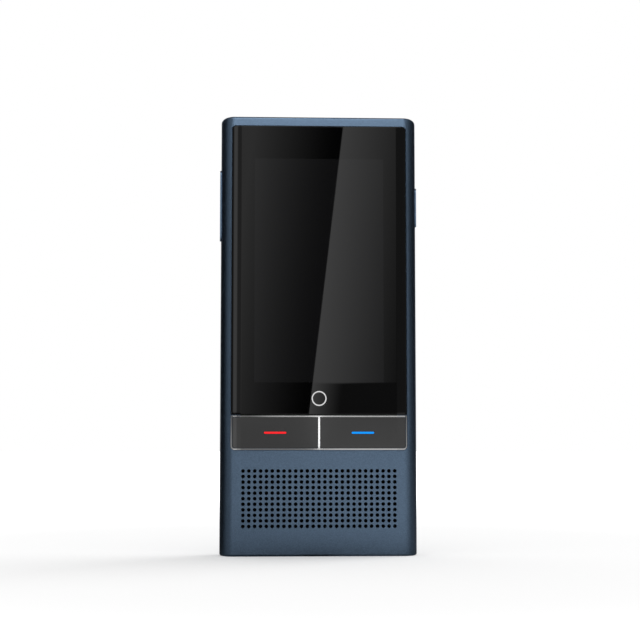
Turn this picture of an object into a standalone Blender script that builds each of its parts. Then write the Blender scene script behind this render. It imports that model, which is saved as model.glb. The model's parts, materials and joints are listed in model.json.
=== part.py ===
"""Handheld pocket translator, modelled as the separate pieces it comes apart into.

Metres, +Z up. +X is the user's right and -Y is the display side. The origin is in the middle of the
lower end, on the surface that the device stands on.
"""
import math

import bmesh
import bpy
from mathutils import Matrix

# Body shell
BODY_WIDTH = 0.0570
BODY_HEIGHT = 0.1270
BODY_DEPTH = 0.0128
CORNER_REACH = 0.0040
CORNER_DEPTH = 0.0055
CREASE_INSET = 0.0028
CROWN_RISE = 0.0032
SHOULDER_LENGTH = 0.0013
END_FILLET = 0.0006
SIDE_WALL = 0.0015
FRONT_WALL = 0.0020
END_WALL = 0.0016
COVER_WALL = 0.0011
CREASE_LAND = 0.0004

# Clearances and cuts
SEAM = 0.0002
SEAT = 0.0003
CLOSE_FIT = 0.00015
FILM = 0.0001
LAP = 0.0002
STOP_GAP = 0.00005
OVERRUN = 0.0010
WELD = 0.000001

# Cover glass and the tape that holds it
GLASS_SIDE_MARGIN = 0.0032
GLASS_TOP_MARGIN = 0.0028
GLASS_THICKNESS = 0.0008
GLASS_PROUD = 0.0004
GLASS_CORNER = 0.0012
GLASS_EDGE_ROUND = 0.0004
TAPE_THICKNESS = 0.0002
TAPE_MARGIN = 0.0003
SIDE_LEDGE = 0.0026
END_LEDGE = 0.0030
WINDOW_CORNER = 0.0010

# Display stack
TOUCH_THICKNESS = 0.0004
TOUCH_MARGIN = 0.0008
PANEL_SIDE_MARGIN = 0.0026
PANEL_TOP_MARGIN = 0.00365
PANEL_THICKNESS = 0.0011
PANEL_LEDGE = 0.0034
PANEL_BASE_GAP = 0.0013
BACKLIGHT_RIM = 0.0004
BACKLIGHT_THICKNESS = 0.0008
STACK_CORNER = 0.0005
FLEX_THICKNESS = 0.00015
FLEX_BEND = 0.00035
DISPLAY_FLEX_WIDTH = 0.0120
DISPLAY_FLEX_DROP = 0.00045
DISPLAY_FLEX_REACH = 0.0041
DISPLAY_FLEX_TAIL = 0.0062

# Metal frame across the middle of the body
FRAME_THICKNESS = 0.0005
FRAME_SIDE_GAP = 0.0011
FRAME_TOP_GAP = 0.0006
FRAME_BASE_GAP = 0.0001
FRAME_CORNER = 0.0012
FRAME_NOTCH_MARGIN = 0.0010
FRAME_SCREW_INSET = 0.00415
FRAME_SCREW_MARGIN = 0.0018

# Screws and their bosses
BOSS_RADIUS = 0.0014
BOSS_HOLE_RADIUS = 0.00075
SCREW_RADIUS = 0.00055
SCREW_HEAD_RADIUS = 0.0012
SCREW_HEAD_HEIGHT = 0.0005
SCREW_REACH = 0.0022
SCREW_HOLE_RADIUS = 0.0008
SOCKET_RADIUS = 0.0005
SOCKET_DEPTH = 0.00025

# Speaker holes through the front
GRILLE_SIDE_MARGIN = 0.0060
GRILLE_ROWS = 11
GRILLE_PITCH_X = 0.001671
GRILLE_PITCH_Z = 0.001572
GRILLE_HOLE_RADIUS = 0.0005
GRILLE_BASE = 0.00853
GRILLE_SIDES = 6

# Speaker behind the holes
CHAMBER_MARGIN = 0.0012
CHAMBER_WALL = 0.0008
CHAMBER_RISE = 0.0018
CHAMBER_CORNER = 0.0010
MESH_THICKNESS = 0.00015
GASKET_THICKNESS = 0.0008
SPEAKER_WIDTH = 0.0300
SPEAKER_HEIGHT = 0.0150
SPEAKER_DEPTH = 0.0035
SPEAKER_CORNER = 0.0030
SPEAKER_RIM = 0.0016
SPEAKER_DISH = 0.0009
CONE_MARGIN = 0.0006
CONE_THICKNESS = 0.0004

# Talk keys under the display
KEY_ROW_BASE = 0.03025
KEY_ROW_HEIGHT = 0.0098
KEY_PROUD = 0.0005
KEY_CAP_THICKNESS = 0.00115
KEY_CORNER = 0.0008
KEY_TRAVEL = 0.00025
TRIM_WIDTH = 0.00035
TRIM_DIVIDER = 0.00047
TRIM_PROUD = 0.00045
KEY_SILL = 0.0010
PAD_LIP = 0.0007
PAD_LIP_THICKNESS = 0.0006
PLUNGER_RADIUS = 0.0007
PLUNGER_LENGTH = 0.0004
PLUNGER_DROP = 0.0025
DOME_RADIUS = 0.0017
DOME_TOP_RADIUS = 0.0010
DOME_HEIGHT = 0.0003
LIGHT_LENGTH = 0.0067
LIGHT_HEIGHT = 0.00095
LIGHT_SINK = 0.00003
LIGHT_DEPTH = 0.0009
LIGHT_WELL_MARGIN = 0.0003
LED_LENGTH = 0.0016
LED_HEIGHT = 0.0008
LED_THICKNESS = 0.0006
BOARD_THICKNESS = 0.0008
KEY_BOARD_SIDE_GAP = 0.0040
KEY_BOARD_BASE_MARGIN = 0.0031
KEY_BOARD_TOP_MARGIN = 0.0030
KEY_SCREW_INSET = 0.0020

# Keys in the long sides
SIDE_KEY_WIDTH = 0.0027
SIDE_KEY_PROUD = 0.00035
SIDE_KEY_TRAVEL = 0.00025
SIDE_SEAT_RELIEF = 0.0002
EAR_LENGTH = 0.0010
EAR_THICKNESS = 0.0006
NUB_RADIUS = 0.0006
NUB_LENGTH = 0.0004
POWER_LENGTH = 0.0115
POWER_DROP = 0.0257
ROCKER_LENGTH = 0.0209
ROCKER_DROP = 0.02555
ROCKER_NUB_REACH = 0.0070
SWITCH_TIP_LENGTH = 0.0003
SWITCH_TIP_RADIUS = 0.0005
SWITCH_DEPTH = 0.0011
SWITCH_WIDTH = 0.0026
SWITCH_LENGTH = 0.0035
BRACKET_THICKNESS = 0.0003
BRACKET_MARGIN = 0.0010
BRACKET_RISE = 0.0030

# Card tray and reader at the upper end
TRAY_WIDTH = 0.0108
TRAY_THICKNESS = 0.0012
TRAY_LENGTH = 0.0172
TRAY_SILL = 0.0008
CARD_LENGTH = 0.0124
DOOR_LENGTH = 0.0144
DOOR_WIDTH = 0.0026
DOOR_THICKNESS = 0.0013
EJECT_HOLE_X = 0.0060
EJECT_HOLE_RADIUS = 0.0004
READER_WALL = 0.00025
READER_SIDE_GAP = 0.00025
READER_LENGTH = 0.0150
READER_TOP_GAP = 0.0029

# Camera and flash
BEZEL_WIDTH = 0.0092
BEZEL_HEIGHT = 0.0241
BEZEL_CORNER = 0.0017
BEZEL_RIM = 0.00065
BEZEL_PROUD = 0.0003
BEZEL_DROP = 0.0067
CAMERA_POCKET_DEPTH = 0.00065
CAMERA_LEDGE = 0.0008
CAMERA_WINDOW_THICKNESS = 0.0006
LENS_DROP = 0.0046
MODULE_SIZE = 0.0085
MODULE_DEPTH = 0.0029
BARREL_RADIUS = 0.0029
BARREL_CLEARANCE = 0.0012
LENS_RADIUS = 0.0015
LENS_DEPTH = 0.0008
LENS_RECESS = 0.0011
FLASH_SIDE_MARGIN = 0.0038
FLASH_RADIUS = 0.0011
FLASH_FLANGE_RADIUS = 0.0017
FLASH_FLANGE_THICKNESS = 0.0006
FLASH_SINK = 0.0001
FLASH_LED_SIZE = 0.0018
FLASH_LED_THICKNESS = 0.0008

# Main board and what stands on it
MAIN_SIDE_GAP = 0.0046
MAIN_TOP_GAP = 0.0008
MAIN_HEIGHT = 0.0361
BOARD_CORNER = 0.0010
SHIELD_WALL = 0.0002
SHIELD_DEPTH = 0.0016
SHIELD_CORNER = 0.0004
SHIELD_SPLIT = 0.0020
PROCESSOR_SHIELD_MARGIN = 0.0006
PROCESSOR_SHIELD_HEIGHT = 0.0110
PROCESSOR_SHIELD_RISE = 0.0071
RADIO_SHIELD_MARGIN = 0.0034
RADIO_SHIELD_HEIGHT = 0.0170
RADIO_SHIELD_RISE = 0.0015

# Battery
BATTERY_SIDE_MARGIN = 0.0069
BATTERY_BASE_MARGIN = 0.00185
BATTERY_THICKNESS = 0.0047
BATTERY_ROUND = 0.0012
BATTERY_GAP = 0.0020
BATTERY_FLEX_X = -0.0060
BATTERY_FLEX_WIDTH = 0.0050
BATTERY_FLEX_LENGTH = 0.0077
BATTERY_SOCKET_HEIGHT = 0.0033
BATTERY_SOCKET_DEPTH = 0.0011
BATTERY_SOCKET_WIDTH = 0.0060

# Lower board with the charging port
LOWER_BOARD_SIDE_GAP = 0.0042
LOWER_BOARD_BASE_GAP = 0.0004
LOWER_BOARD_HEIGHT = 0.0280
LOWER_SCREW_INSET = 0.0029
LOWER_SCREW_RISE = 0.0030
PORT_WIDTH = 0.00894
PORT_HEIGHT = 0.00326
PORT_LENGTH = 0.00735
PORT_WALL = 0.0003
PORT_SINK = 0.0002
TONGUE_WIDTH = 0.00669
TONGUE_THICKNESS = 0.0007
TONGUE_SINK = 0.0011
PLUG_STOP_THICKNESS = 0.0012
BOARD_FLEX_INSET = 0.0010
BOARD_FLEX_WIDTH = 0.0024
BOARD_FLEX_TOP_LAP = 0.0035
BOARD_FLEX_BASE_LAP = 0.0050
BOARD_FLEX_STEP = 0.0035
BOARD_FLEX_BEND = 0.0010

# Microphone
MICROPHONE_WIDTH = 0.0028
MICROPHONE_HEIGHT = 0.0019
MICROPHONE_DEPTH = 0.0010
BOOT_THICKNESS = 0.0013
BOOT_DEPTH = 0.0014
SOUND_HOLE_RADIUS = 0.00045
MICROPHONE_X = -0.0115

# Antenna on the inside of the back
ANTENNA_THICKNESS = 0.00015
ANTENNA_SIDE_MARGIN = 0.0110
ANTENNA_BASE = 0.0040
ANTENNA_HEIGHT = 0.0200

# Snap tabs of the rear cover
TAB_LENGTH = 0.0050
TAB_THICKNESS = 0.0009
TAB_DEPTH = 0.0020
HOOK_REACH = 0.0005
HOOK_DEPTH = 0.0012
TAB_HEIGHT_SHARES = (0.095, 0.285, 0.475, 0.66, 0.93)

# Facets of curved outlines
CORNER_STEPS = 6
SIDE_STEPS = 4
BACK_STEPS = 6
ROUND_STEPS = 2
RIM_SEGMENTS = 2
SCREW_SIDES = 8
LENS_SIDES = 16
SMOOTH_ANGLE = math.radians(32)
QUARTER_TURN = math.pi / 2

# Places across the depth, from the display side to the back
FRONT_Y = KEY_PROUD - (KEY_PROUD + BODY_DEPTH + BEZEL_PROUD) / 2
CROWN_Y = FRONT_Y + BODY_DEPTH
WIDEST_Y = FRONT_Y + CORNER_DEPTH
CREASE_Y = CROWN_Y - CROWN_RISE
FRONT_INNER_Y = FRONT_Y + FRONT_WALL
GLASS_FRONT_Y = FRONT_Y - GLASS_PROUD
GLASS_BACK_Y = GLASS_FRONT_Y + GLASS_THICKNESS
TAPE_FRONT_Y = GLASS_BACK_Y + SEAT
TAPE_BACK_Y = TAPE_FRONT_Y + TAPE_THICKNESS
POCKET_FLOOR_Y = TAPE_BACK_Y + SEAT
TOUCH_FRONT_Y = GLASS_BACK_Y + SEAT
TOUCH_BACK_Y = TOUCH_FRONT_Y + TOUCH_THICKNESS
PANEL_FRONT_Y = TOUCH_BACK_Y + SEAT
PANEL_BACK_Y = PANEL_FRONT_Y + PANEL_THICKNESS
BACKLIGHT_FRONT_Y = PANEL_BACK_Y + SEAT
BACKLIGHT_BACK_Y = BACKLIGHT_FRONT_Y + BACKLIGHT_THICKNESS
FRAME_FRONT_Y = BACKLIGHT_BACK_Y + SEAT
FRAME_BACK_Y = FRAME_FRONT_Y + FRAME_THICKNESS
MAIN_FRONT_Y = FRAME_BACK_Y + SEAT
MAIN_BACK_Y = MAIN_FRONT_Y + BOARD_THICKNESS
ON_MAIN_Y = MAIN_BACK_Y + SEAT
KEY_FRONT_Y = FRONT_Y - KEY_PROUD
KEY_BACK_Y = KEY_FRONT_Y + KEY_CAP_THICKNESS
PAD_FRONT_Y = KEY_BACK_Y + SEAT
PAD_LIP_Y = FRONT_INNER_Y + SEAT
PAD_BACK_Y = PAD_LIP_Y + PAD_LIP_THICKNESS
PLUNGER_TIP_Y = PAD_BACK_Y + PLUNGER_LENGTH
DOME_FRONT_Y = PLUNGER_TIP_Y + KEY_TRAVEL + STOP_GAP
KEY_BOARD_FRONT_Y = DOME_FRONT_Y + DOME_HEIGHT + FILM
KEY_BOARD_BACK_Y = KEY_BOARD_FRONT_Y + BOARD_THICKNESS
MESH_FRONT_Y = FRONT_INNER_Y + SEAT
MESH_BACK_Y = MESH_FRONT_Y + MESH_THICKNESS
GASKET_FRONT_Y = MESH_BACK_Y + SEAT
GASKET_BACK_Y = GASKET_FRONT_Y + GASKET_THICKNESS
SPEAKER_FRONT_Y = GASKET_BACK_Y + SEAT
SPEAKER_BACK_Y = SPEAKER_FRONT_Y + SPEAKER_DEPTH
LOWER_FRONT_Y = SPEAKER_BACK_Y + SEAT
LOWER_BACK_Y = LOWER_FRONT_Y + BOARD_THICKNESS
PORT_Y = LOWER_FRONT_Y - SEAT - PORT_HEIGHT / 2

# Places across the width and up the height
HALF_WIDTH = BODY_WIDTH / 2
CREASE_X = HALF_WIDTH - CREASE_INSET
COVER_HALF_WIDTH = CREASE_X - CREASE_LAND
BACK_RADIUS = (CREASE_X ** 2 + CROWN_RISE ** 2) / (2 * CROWN_RISE)
INNER_X = HALF_WIDTH - SIDE_WALL
SIDE_SEAT_X = INNER_X - SIDE_SEAT_RELIEF
INNER_TOP_Z = BODY_HEIGHT - END_WALL
GLASS_HALF_WIDTH = HALF_WIDTH - GLASS_SIDE_MARGIN
KEY_ROW_TOP = KEY_ROW_BASE + KEY_ROW_HEIGHT
KEY_MIDDLE_Z = (KEY_ROW_BASE + TRIM_WIDTH + KEY_ROW_TOP - TRIM_WIDTH) / 2
GLASS_BASE = KEY_ROW_TOP + SEAM
GLASS_TOP = BODY_HEIGHT - GLASS_TOP_MARGIN
WINDOW_HALF_WIDTH = GLASS_HALF_WIDTH - SIDE_LEDGE
WINDOW_BASE = GLASS_BASE + END_LEDGE
WINDOW_TOP = GLASS_TOP - END_LEDGE
PANEL_BASE = WINDOW_BASE + PANEL_BASE_GAP
PANEL_TOP = WINDOW_TOP - PANEL_TOP_MARGIN
PANEL_HALF_WIDTH = WINDOW_HALF_WIDTH - PANEL_SIDE_MARGIN
FRAME_BASE = PANEL_BASE + FRAME_BASE_GAP
FRAME_TOP = INNER_TOP_Z - FRAME_TOP_GAP
FRAME_HALF_WIDTH = INNER_X - FRAME_SIDE_GAP
FRAME_SCREW_X = HALF_WIDTH - FRAME_SCREW_INSET
FRAME_SCREW_BASE = FRAME_BASE + FRAME_SCREW_MARGIN
FRAME_SCREW_TOP = FRAME_TOP - FRAME_SCREW_MARGIN
GRILLE_SIDE_COLUMNS = int((HALF_WIDTH - GRILLE_SIDE_MARGIN) / GRILLE_PITCH_X)
GRILLE_HALF_WIDTH = GRILLE_PITCH_X * GRILLE_SIDE_COLUMNS
GRILLE_HALF_HEIGHT = GRILLE_PITCH_Z * (GRILLE_ROWS - 1) / 2
GRILLE_Z = GRILLE_BASE + GRILLE_HALF_HEIGHT
CHAMBER_HALF_WIDTH = GRILLE_HALF_WIDTH + CHAMBER_MARGIN
CHAMBER_HALF_HEIGHT = GRILLE_HALF_HEIGHT + CHAMBER_MARGIN
KEY_BOARD_HALF_WIDTH = INNER_X - KEY_BOARD_SIDE_GAP
KEY_BOARD_BASE = KEY_ROW_BASE - KEY_BOARD_BASE_MARGIN
KEY_BOARD_TOP = KEY_ROW_TOP + KEY_BOARD_TOP_MARGIN
POWER_Z = BODY_HEIGHT - POWER_DROP
ROCKER_Z = BODY_HEIGHT - ROCKER_DROP
EAR_OUTER_X = SIDE_SEAT_X - SEAT
EAR_INNER_X = EAR_OUTER_X - EAR_THICKNESS
NUB_TIP_X = EAR_INNER_X - NUB_LENGTH
SWITCH_TIP_X = NUB_TIP_X - SIDE_KEY_TRAVEL - STOP_GAP
SWITCH_FACE_X = SWITCH_TIP_X - SWITCH_TIP_LENGTH
SWITCH_BACK_X = SWITCH_FACE_X - SWITCH_DEPTH
BRACKET_FACE_X = SWITCH_BACK_X - SEAT
BRACKET_BACK_X = BRACKET_FACE_X - BRACKET_THICKNESS
BEZEL_Z = BODY_HEIGHT - BEZEL_DROP - BEZEL_HEIGHT / 2
LENS_Z = BODY_HEIGHT - BEZEL_DROP - LENS_DROP
FLASH_X = BEZEL_WIDTH / 2 + FLASH_SIDE_MARGIN
MAIN_TOP = INNER_TOP_Z - MAIN_TOP_GAP
MAIN_BASE = MAIN_TOP - MAIN_HEIGHT
MAIN_HALF_WIDTH = INNER_X - MAIN_SIDE_GAP
BATTERY_TOP = MAIN_BASE - BATTERY_GAP
BATTERY_BASE = FRAME_BASE + BATTERY_BASE_MARGIN
BATTERY_HALF_WIDTH = FRAME_HALF_WIDTH - BATTERY_SIDE_MARGIN
BOARD_FLEX_X = MAIN_HALF_WIDTH - BOARD_FLEX_INSET
LOWER_BASE = END_WALL + LOWER_BOARD_BASE_GAP
LOWER_TOP = LOWER_BASE + LOWER_BOARD_HEIGHT
LOWER_HALF_WIDTH = INNER_X - LOWER_BOARD_SIDE_GAP
LOWER_SCREW_X = LOWER_HALF_WIDTH - LOWER_SCREW_INSET
LOWER_SCREW_Z = END_WALL + LOWER_SCREW_RISE
ANTENNA_HALF_WIDTH = INNER_X - ANTENNA_SIDE_MARGIN
READER_DEPTH = TRAY_THICKNESS + 2 * SEAT + 2 * READER_WALL
CARD_X = -(MODULE_SIZE / 2 + MAIN_HALF_WIDTH) / 2
CARD_Y = ON_MAIN_Y + READER_DEPTH / 2

# Keys in the long sides: name, side, length and height of the middle
SIDE_KEYS = (
    ("power", 1, POWER_LENGTH, POWER_Z),
    ("volume", -1, ROCKER_LENGTH, ROCKER_Z),
)

# How an outline lies: the axes its two numbers run along and the axis it is extruded along
FACING_UP = (0, 0, 0)
FACING_FRONT = (QUARTER_TURN, 0, 0)
FACING_SIDE = (QUARTER_TURN, 0, QUARTER_TURN)


def clear_scene():
    """Remove every object that a new file starts with."""
    for stray in list(bpy.data.objects):
        bpy.data.objects.remove(stray, do_unlink=True)


def new_collection(name):
    """Add a collection to the scene."""
    collection = bpy.data.collections.new(name)
    bpy.context.scene.collection.children.link(collection)
    return collection


def new_material(name, colour, roughness, metallic=0.0):
    """Principled BSDF material with one colour."""
    material = bpy.data.materials.new(name)
    material.use_nodes = True
    shader = material.node_tree.nodes["Principled BSDF"]
    shader.inputs["Base Color"].default_value = (*colour, 1.0)
    shader.inputs["Roughness"].default_value = roughness
    shader.inputs["Metallic"].default_value = metallic
    return material


# Outlines

def mirrored(points):
    """The chain of points, followed by its mirror image about the line through zero."""
    return points + [(-u, v) for u, v in reversed(points)]


def rounded_rectangle(width, height, radius, centre=(0.0, 0.0), steps=ROUND_STEPS):
    """Rectangle with its corners rounded, anticlockwise from the lower right one."""
    points = []
    reach_u = width / 2 - radius
    reach_v = height / 2 - radius
    for corner, (side_u, side_v) in enumerate(((1, -1), (1, 1), (-1, 1), (-1, -1))):
        for step in range(steps + 1):
            angle = (corner - 1 + step / steps) * QUARTER_TURN
            u = centre[0] + side_u * reach_u + radius * math.cos(angle)
            v = centre[1] + side_v * reach_v + radius * math.sin(angle)
            points.append((u, v))
    return points


def clipped_rectangle(width, height, clip):
    """Rectangle with its corners cut off straight."""
    return rounded_rectangle(width, height, clip, steps=1)


def span_rectangle(low_u, high_u, low_v, high_v, radius):
    """Rounded rectangle given by its sides."""
    centre = ((low_u + high_u) / 2, (low_v + high_v) / 2)
    return rounded_rectangle(high_u - low_u, high_v - low_v, radius, centre)


def stadium(length_u, length_v, centre=(0.0, 0.0)):
    """Slot with fully round ends, along whichever side is the longer."""
    radius = min(length_u, length_v) / 2
    reach = max(length_u, length_v) / 2 - radius
    points = []
    for end in (1, -1):
        for step in range(2 * ROUND_STEPS + 1):
            angle = QUARTER_TURN * step / ROUND_STEPS
            across = end * radius * math.cos(angle)
            along = end * (reach + radius * math.sin(angle))
            u, v = (across, along) if length_v > length_u else (along, -across)
            points.append((centre[0] + u, centre[1] + v))
    return points


def circle(radius, centre=(0.0, 0.0), sides=SCREW_SIDES):
    """Round outline with a flat number of sides."""
    return [
        (centre[0] + radius * math.cos(2 * math.pi * side / sides),
         centre[1] + radius * math.sin(2 * math.pi * side / sides))
        for side in range(sides)
    ]


def back_y(x, depth=0.0):
    """Where the arc of the back lies at x, or an arc that much inside it."""
    return CROWN_Y - BACK_RADIUS + math.sqrt((BACK_RADIUS - depth) ** 2 - x ** 2)


def back_arc(low_x, high_x, depth=0.0, steps=2 * BACK_STEPS):
    """Points along the arc of the back, from low_x to high_x."""
    places = [low_x + (high_x - low_x) * step / steps for step in range(steps + 1)]
    return [(x, back_y(x, depth)) for x in places]


def side_chain():
    """The body's right side in plan: front corner, widest line, then in to the crease."""
    flat_x = HALF_WIDTH - CORNER_REACH
    chain = []
    for step in range(CORNER_STEPS + 1):
        angle = QUARTER_TURN * step / CORNER_STEPS
        chain.append((flat_x + CORNER_REACH * math.sin(angle), WIDEST_Y - CORNER_DEPTH * math.cos(angle)))
    for step in range(1, SIDE_STEPS + 1):
        share = step / SIDE_STEPS
        rest = 1 - share
        x = HALF_WIDTH * (rest ** 2 + 2 * rest * share) + CREASE_X * share ** 2
        y = WIDEST_Y * rest ** 2 + 2 * rest * share * (WIDEST_Y + SHOULDER_LENGTH) + CREASE_Y * share ** 2
        chain.append((x, y))
    return chain


def inset_chain(chain, distance):
    """The chain moved inwards along its normals, or outwards if distance is negative."""
    moved = []
    last = len(chain) - 1
    for index, (x, y) in enumerate(chain):
        before = chain[max(index - 1, 0)]
        after = chain[min(index + 1, last)]
        run_x = after[0] - before[0]
        run_y = after[1] - before[1]
        length = math.hypot(run_x, run_y)
        moved.append((x - distance * run_y / length, y + distance * run_x / length))
    return moved


def behind_plane(chain, plane_y):
    """The chain from where it crosses plane_y on its way to the back."""
    for index, (before, after) in enumerate(zip(chain, chain[1:])):
        if after[1] > plane_y:
            share = (plane_y - before[1]) / (after[1] - before[1])
            crossing = (before[0] + share * (after[0] - before[0]), plane_y)
            return [crossing] + chain[index + 1:]
    return chain


def body_outline():
    """Cross-section of the closed body, anticlockwise from the front right corner."""
    chain = side_chain()
    back = back_arc(CREASE_X, -CREASE_X)
    left = [(-x, y) for x, y in reversed(chain)]
    return chain[:-1] + back + left[1:]


def cavity_outline():
    """Cross-section of the hollow in the front housing, open towards the back."""
    chain = behind_plane(inset_chain(side_chain(), SIDE_WALL), FRONT_INNER_Y)
    chain.append((chain[-1][0], CROWN_Y + OVERRUN))
    return mirrored(chain)


def cover_outline(half_width, depth):
    """Cross-section of what lies behind an arc inside the back, out to past the crown."""
    outer_y = CROWN_Y + OVERRUN
    return back_arc(-half_width, half_width, depth) + [(half_width, outer_y), (-half_width, outer_y)]


def ribbon_outline(path, bend_radius, thickness):
    """Outline of a thin ribbon along a path whose corners are rounded."""
    line = [path[0]]
    for before, corner, after in zip(path, path[1:], path[2:]):
        line.extend(rounded_corner(before, corner, after, bend_radius))
    line.append(path[-1])
    one_side = inset_chain(line, thickness / 2)
    other_side = inset_chain(line, -thickness / 2)
    return one_side + other_side[::-1]


def rounded_corner(before, corner, after, bend_radius):
    """Arc points that replace one corner of a path."""
    in_u, in_v = unit(before, corner)
    out_u, out_v = unit(corner, after)
    turn = math.acos(max(-1.0, min(1.0, in_u * out_u + in_v * out_v)))
    cut_back = bend_radius * math.tan(turn / 2)
    points = []
    for step in range(ROUND_STEPS + 1):
        share = step / ROUND_STEPS
        start = (corner[0] - in_u * cut_back * (1 - share), corner[1] - in_v * cut_back * (1 - share))
        end = (corner[0] + out_u * cut_back * share, corner[1] + out_v * cut_back * share)
        points.append((start[0] * (1 - share) + end[0] * share, start[1] * (1 - share) + end[1] * share))
    return points


def unit(start, end):
    """Direction from start to end as a unit vector."""
    run_u = end[0] - start[0]
    run_v = end[1] - start[1]
    length = math.hypot(run_u, run_v)
    return run_u / length, run_v / length


# Solids

def weld(mesh):
    """Join doubled corners and turn every face outwards."""
    work = bmesh.new()
    work.from_mesh(mesh)
    bmesh.ops.remove_doubles(work, verts=work.verts, dist=WELD)
    bmesh.ops.recalc_face_normals(work, faces=work.faces)
    work.to_mesh(mesh)
    work.free()


def plate(name, outlines, low, high, facing=FACING_FRONT, at=(0.0, 0.0)):
    """Flat piece: an outline, with any holes in it, extruded from low to high."""
    curve = bpy.data.curves.new(name, "CURVE")
    curve.dimensions = "2D"
    curve.fill_mode = "BOTH"
    curve.extrude = (high - low) / 2
    for outline in outlines:
        spline = curve.splines.new("POLY")
        spline.points.add(len(outline) - 1)
        for point, (u, v) in zip(spline.points, outline):
            point.co = (u, v, 0.0, 1.0)
        spline.use_cyclic_u = True
    guide = bpy.data.objects.new(name, curve)
    middle = (low + high) / 2
    places = {
        FACING_UP: (at[0], at[1], middle),
        FACING_FRONT: (at[0], middle, at[1]),
        FACING_SIDE: (middle, at[0], at[1]),
    }
    guide.location = places[facing]
    guide.rotation_euler = facing
    bpy.context.scene.collection.objects.link(guide)
    bpy.context.view_layer.update()
    evaluated = guide.evaluated_get(bpy.context.evaluated_depsgraph_get())
    mesh = bpy.data.meshes.new_from_object(evaluated)
    weld(mesh)
    solid = bpy.data.objects.new(name, mesh)
    solid.matrix_world = guide.matrix_world.copy()
    bpy.data.objects.remove(guide, do_unlink=True)
    bpy.data.curves.remove(curve)
    solid.name = name
    return solid


def block(name, low, high):
    """Box between two corners."""
    mesh = bpy.data.meshes.new(name)
    work = bmesh.new()
    bmesh.ops.create_cube(work, size=1.0)
    size = [b - a for a, b in zip(low, high)]
    bmesh.ops.scale(work, vec=size, verts=work.verts)
    work.to_mesh(mesh)
    work.free()
    solid = bpy.data.objects.new(name, mesh)
    solid.location = [(a + b) / 2 for a, b in zip(low, high)]
    return solid


def cone_y(name, front_radius, back_radius, low_y, high_y, x, z, sides=LENS_SIDES):
    """Cylinder or cone frustum along Y, with its first radius at low_y."""
    mesh = bpy.data.meshes.new(name)
    work = bmesh.new()
    bmesh.ops.create_cone(
        work, cap_ends=True, cap_tris=False, segments=sides,
        radius1=back_radius, radius2=front_radius, depth=high_y - low_y,
        matrix=Matrix.Rotation(QUARTER_TURN, 4, "X"))
    work.to_mesh(mesh)
    work.free()
    solid = bpy.data.objects.new(name, mesh)
    solid.location = (x, (low_y + high_y) / 2, z)
    return solid


def rod_x(name, radius, low_x, high_x, y, z, sides=SCREW_SIDES):
    """Cylinder along X."""
    mesh = bpy.data.meshes.new(name)
    work = bmesh.new()
    bmesh.ops.create_cone(
        work, cap_ends=True, cap_tris=False, segments=sides,
        radius1=radius, radius2=radius, depth=high_x - low_x,
        matrix=Matrix.Rotation(QUARTER_TURN, 4, "Y"))
    work.to_mesh(mesh)
    work.free()
    solid = bpy.data.objects.new(name, mesh)
    solid.location = ((low_x + high_x) / 2, y, z)
    return solid


def turned_y(name, profile, x, z, sides=LENS_SIDES):
    """Piece turned about an axis along Y: profile is (radius, y), from the back to the front."""
    mesh = bpy.data.meshes.new(name)
    work = bmesh.new()
    corners = [work.verts.new((radius, 0.0, -y)) for radius, y in reversed(profile)]
    for before, after in zip(corners, corners[1:]):
        work.edges.new((before, after))
    work.to_mesh(mesh)
    work.free()
    solid = bpy.data.objects.new(name, mesh)
    solid.location = (x, 0.0, z)
    solid.rotation_euler = FACING_FRONT
    turn = solid.modifiers.new("turn", "SCREW")
    turn.axis = "Z"
    turn.steps = sides
    turn.render_steps = sides
    turn.use_merge_vertices = True
    turn.merge_threshold = WELD
    return solid


def merged(name, solids):
    """One object that holds several solids which don't touch."""
    work = bmesh.new()
    for solid in solids:
        mesh = solid.data.copy()
        mesh.transform(solid_matrix(solid))
        work.from_mesh(mesh)
        bpy.data.meshes.remove(mesh)
        bpy.data.objects.remove(solid, do_unlink=True)
    mesh = bpy.data.meshes.new(name)
    work.to_mesh(mesh)
    work.free()
    result = bpy.data.objects.new(name, mesh)
    result.name = name
    return result


def solid_matrix(solid):
    """Place of an object that the scene hasn't evaluated yet."""
    return Matrix.LocRotScale(solid.location, solid.rotation_euler, solid.scale)


def shape(solid, tool, operation):
    """Cut a solid by a tool, join the two, or keep what they share."""
    cutters.objects.link(tool)
    tool.hide_render = True
    tool.display_type = "WIRE"
    step = solid.modifiers.new(tool.name, "BOOLEAN")
    step.operation = operation
    step.object = tool


def round_rim(solid, width, both_ends=False):
    """Round the rim of a plate at its outer end, or at both ends."""
    mesh = solid.data
    work = bmesh.new()
    work.from_mesh(mesh)
    weights = work.edges.layers.float.new("bevel_weight_edge")
    top = max(corner.co.z for corner in work.verts)
    bottom = min(corner.co.z for corner in work.verts)
    levels = (top, bottom) if both_ends else (top,)
    for level in levels:
        for edge in work.edges:
            on_level = all(abs(corner.co.z - level) < WELD for corner in edge.verts)
            if on_level and edge.calc_face_angle(0.0) > SMOOTH_ANGLE:
                edge[weights] = 1.0
    work.to_mesh(mesh)
    work.free()
    bevel = solid.modifiers.new("rim", "BEVEL")
    bevel.limit_method = "WEIGHT"
    bevel.width = width
    bevel.segments = RIM_SEGMENTS


def round_edges(solid, width):
    """Round every sharp edge of a solid."""
    bevel = solid.modifiers.new("edges", "BEVEL")
    bevel.limit_method = "ANGLE"
    bevel.angle_limit = SMOOTH_ANGLE
    bevel.width = width
    bevel.segments = RIM_SEGMENTS


def keep(solid, material, joint=None):
    """Put a finished piece in the model, under its joint if it moves."""
    parts.objects.link(solid)
    solid.data.materials.clear()
    solid.data.materials.append(material)
    solid.data.shade_smooth()
    solid.data.set_sharp_from_angle(angle=SMOOTH_ANGLE)
    if joint is not None:
        solid.parent = joint
        solid.matrix_parent_inverse = Matrix.Translation(joint.location).inverted()
    return solid


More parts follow.
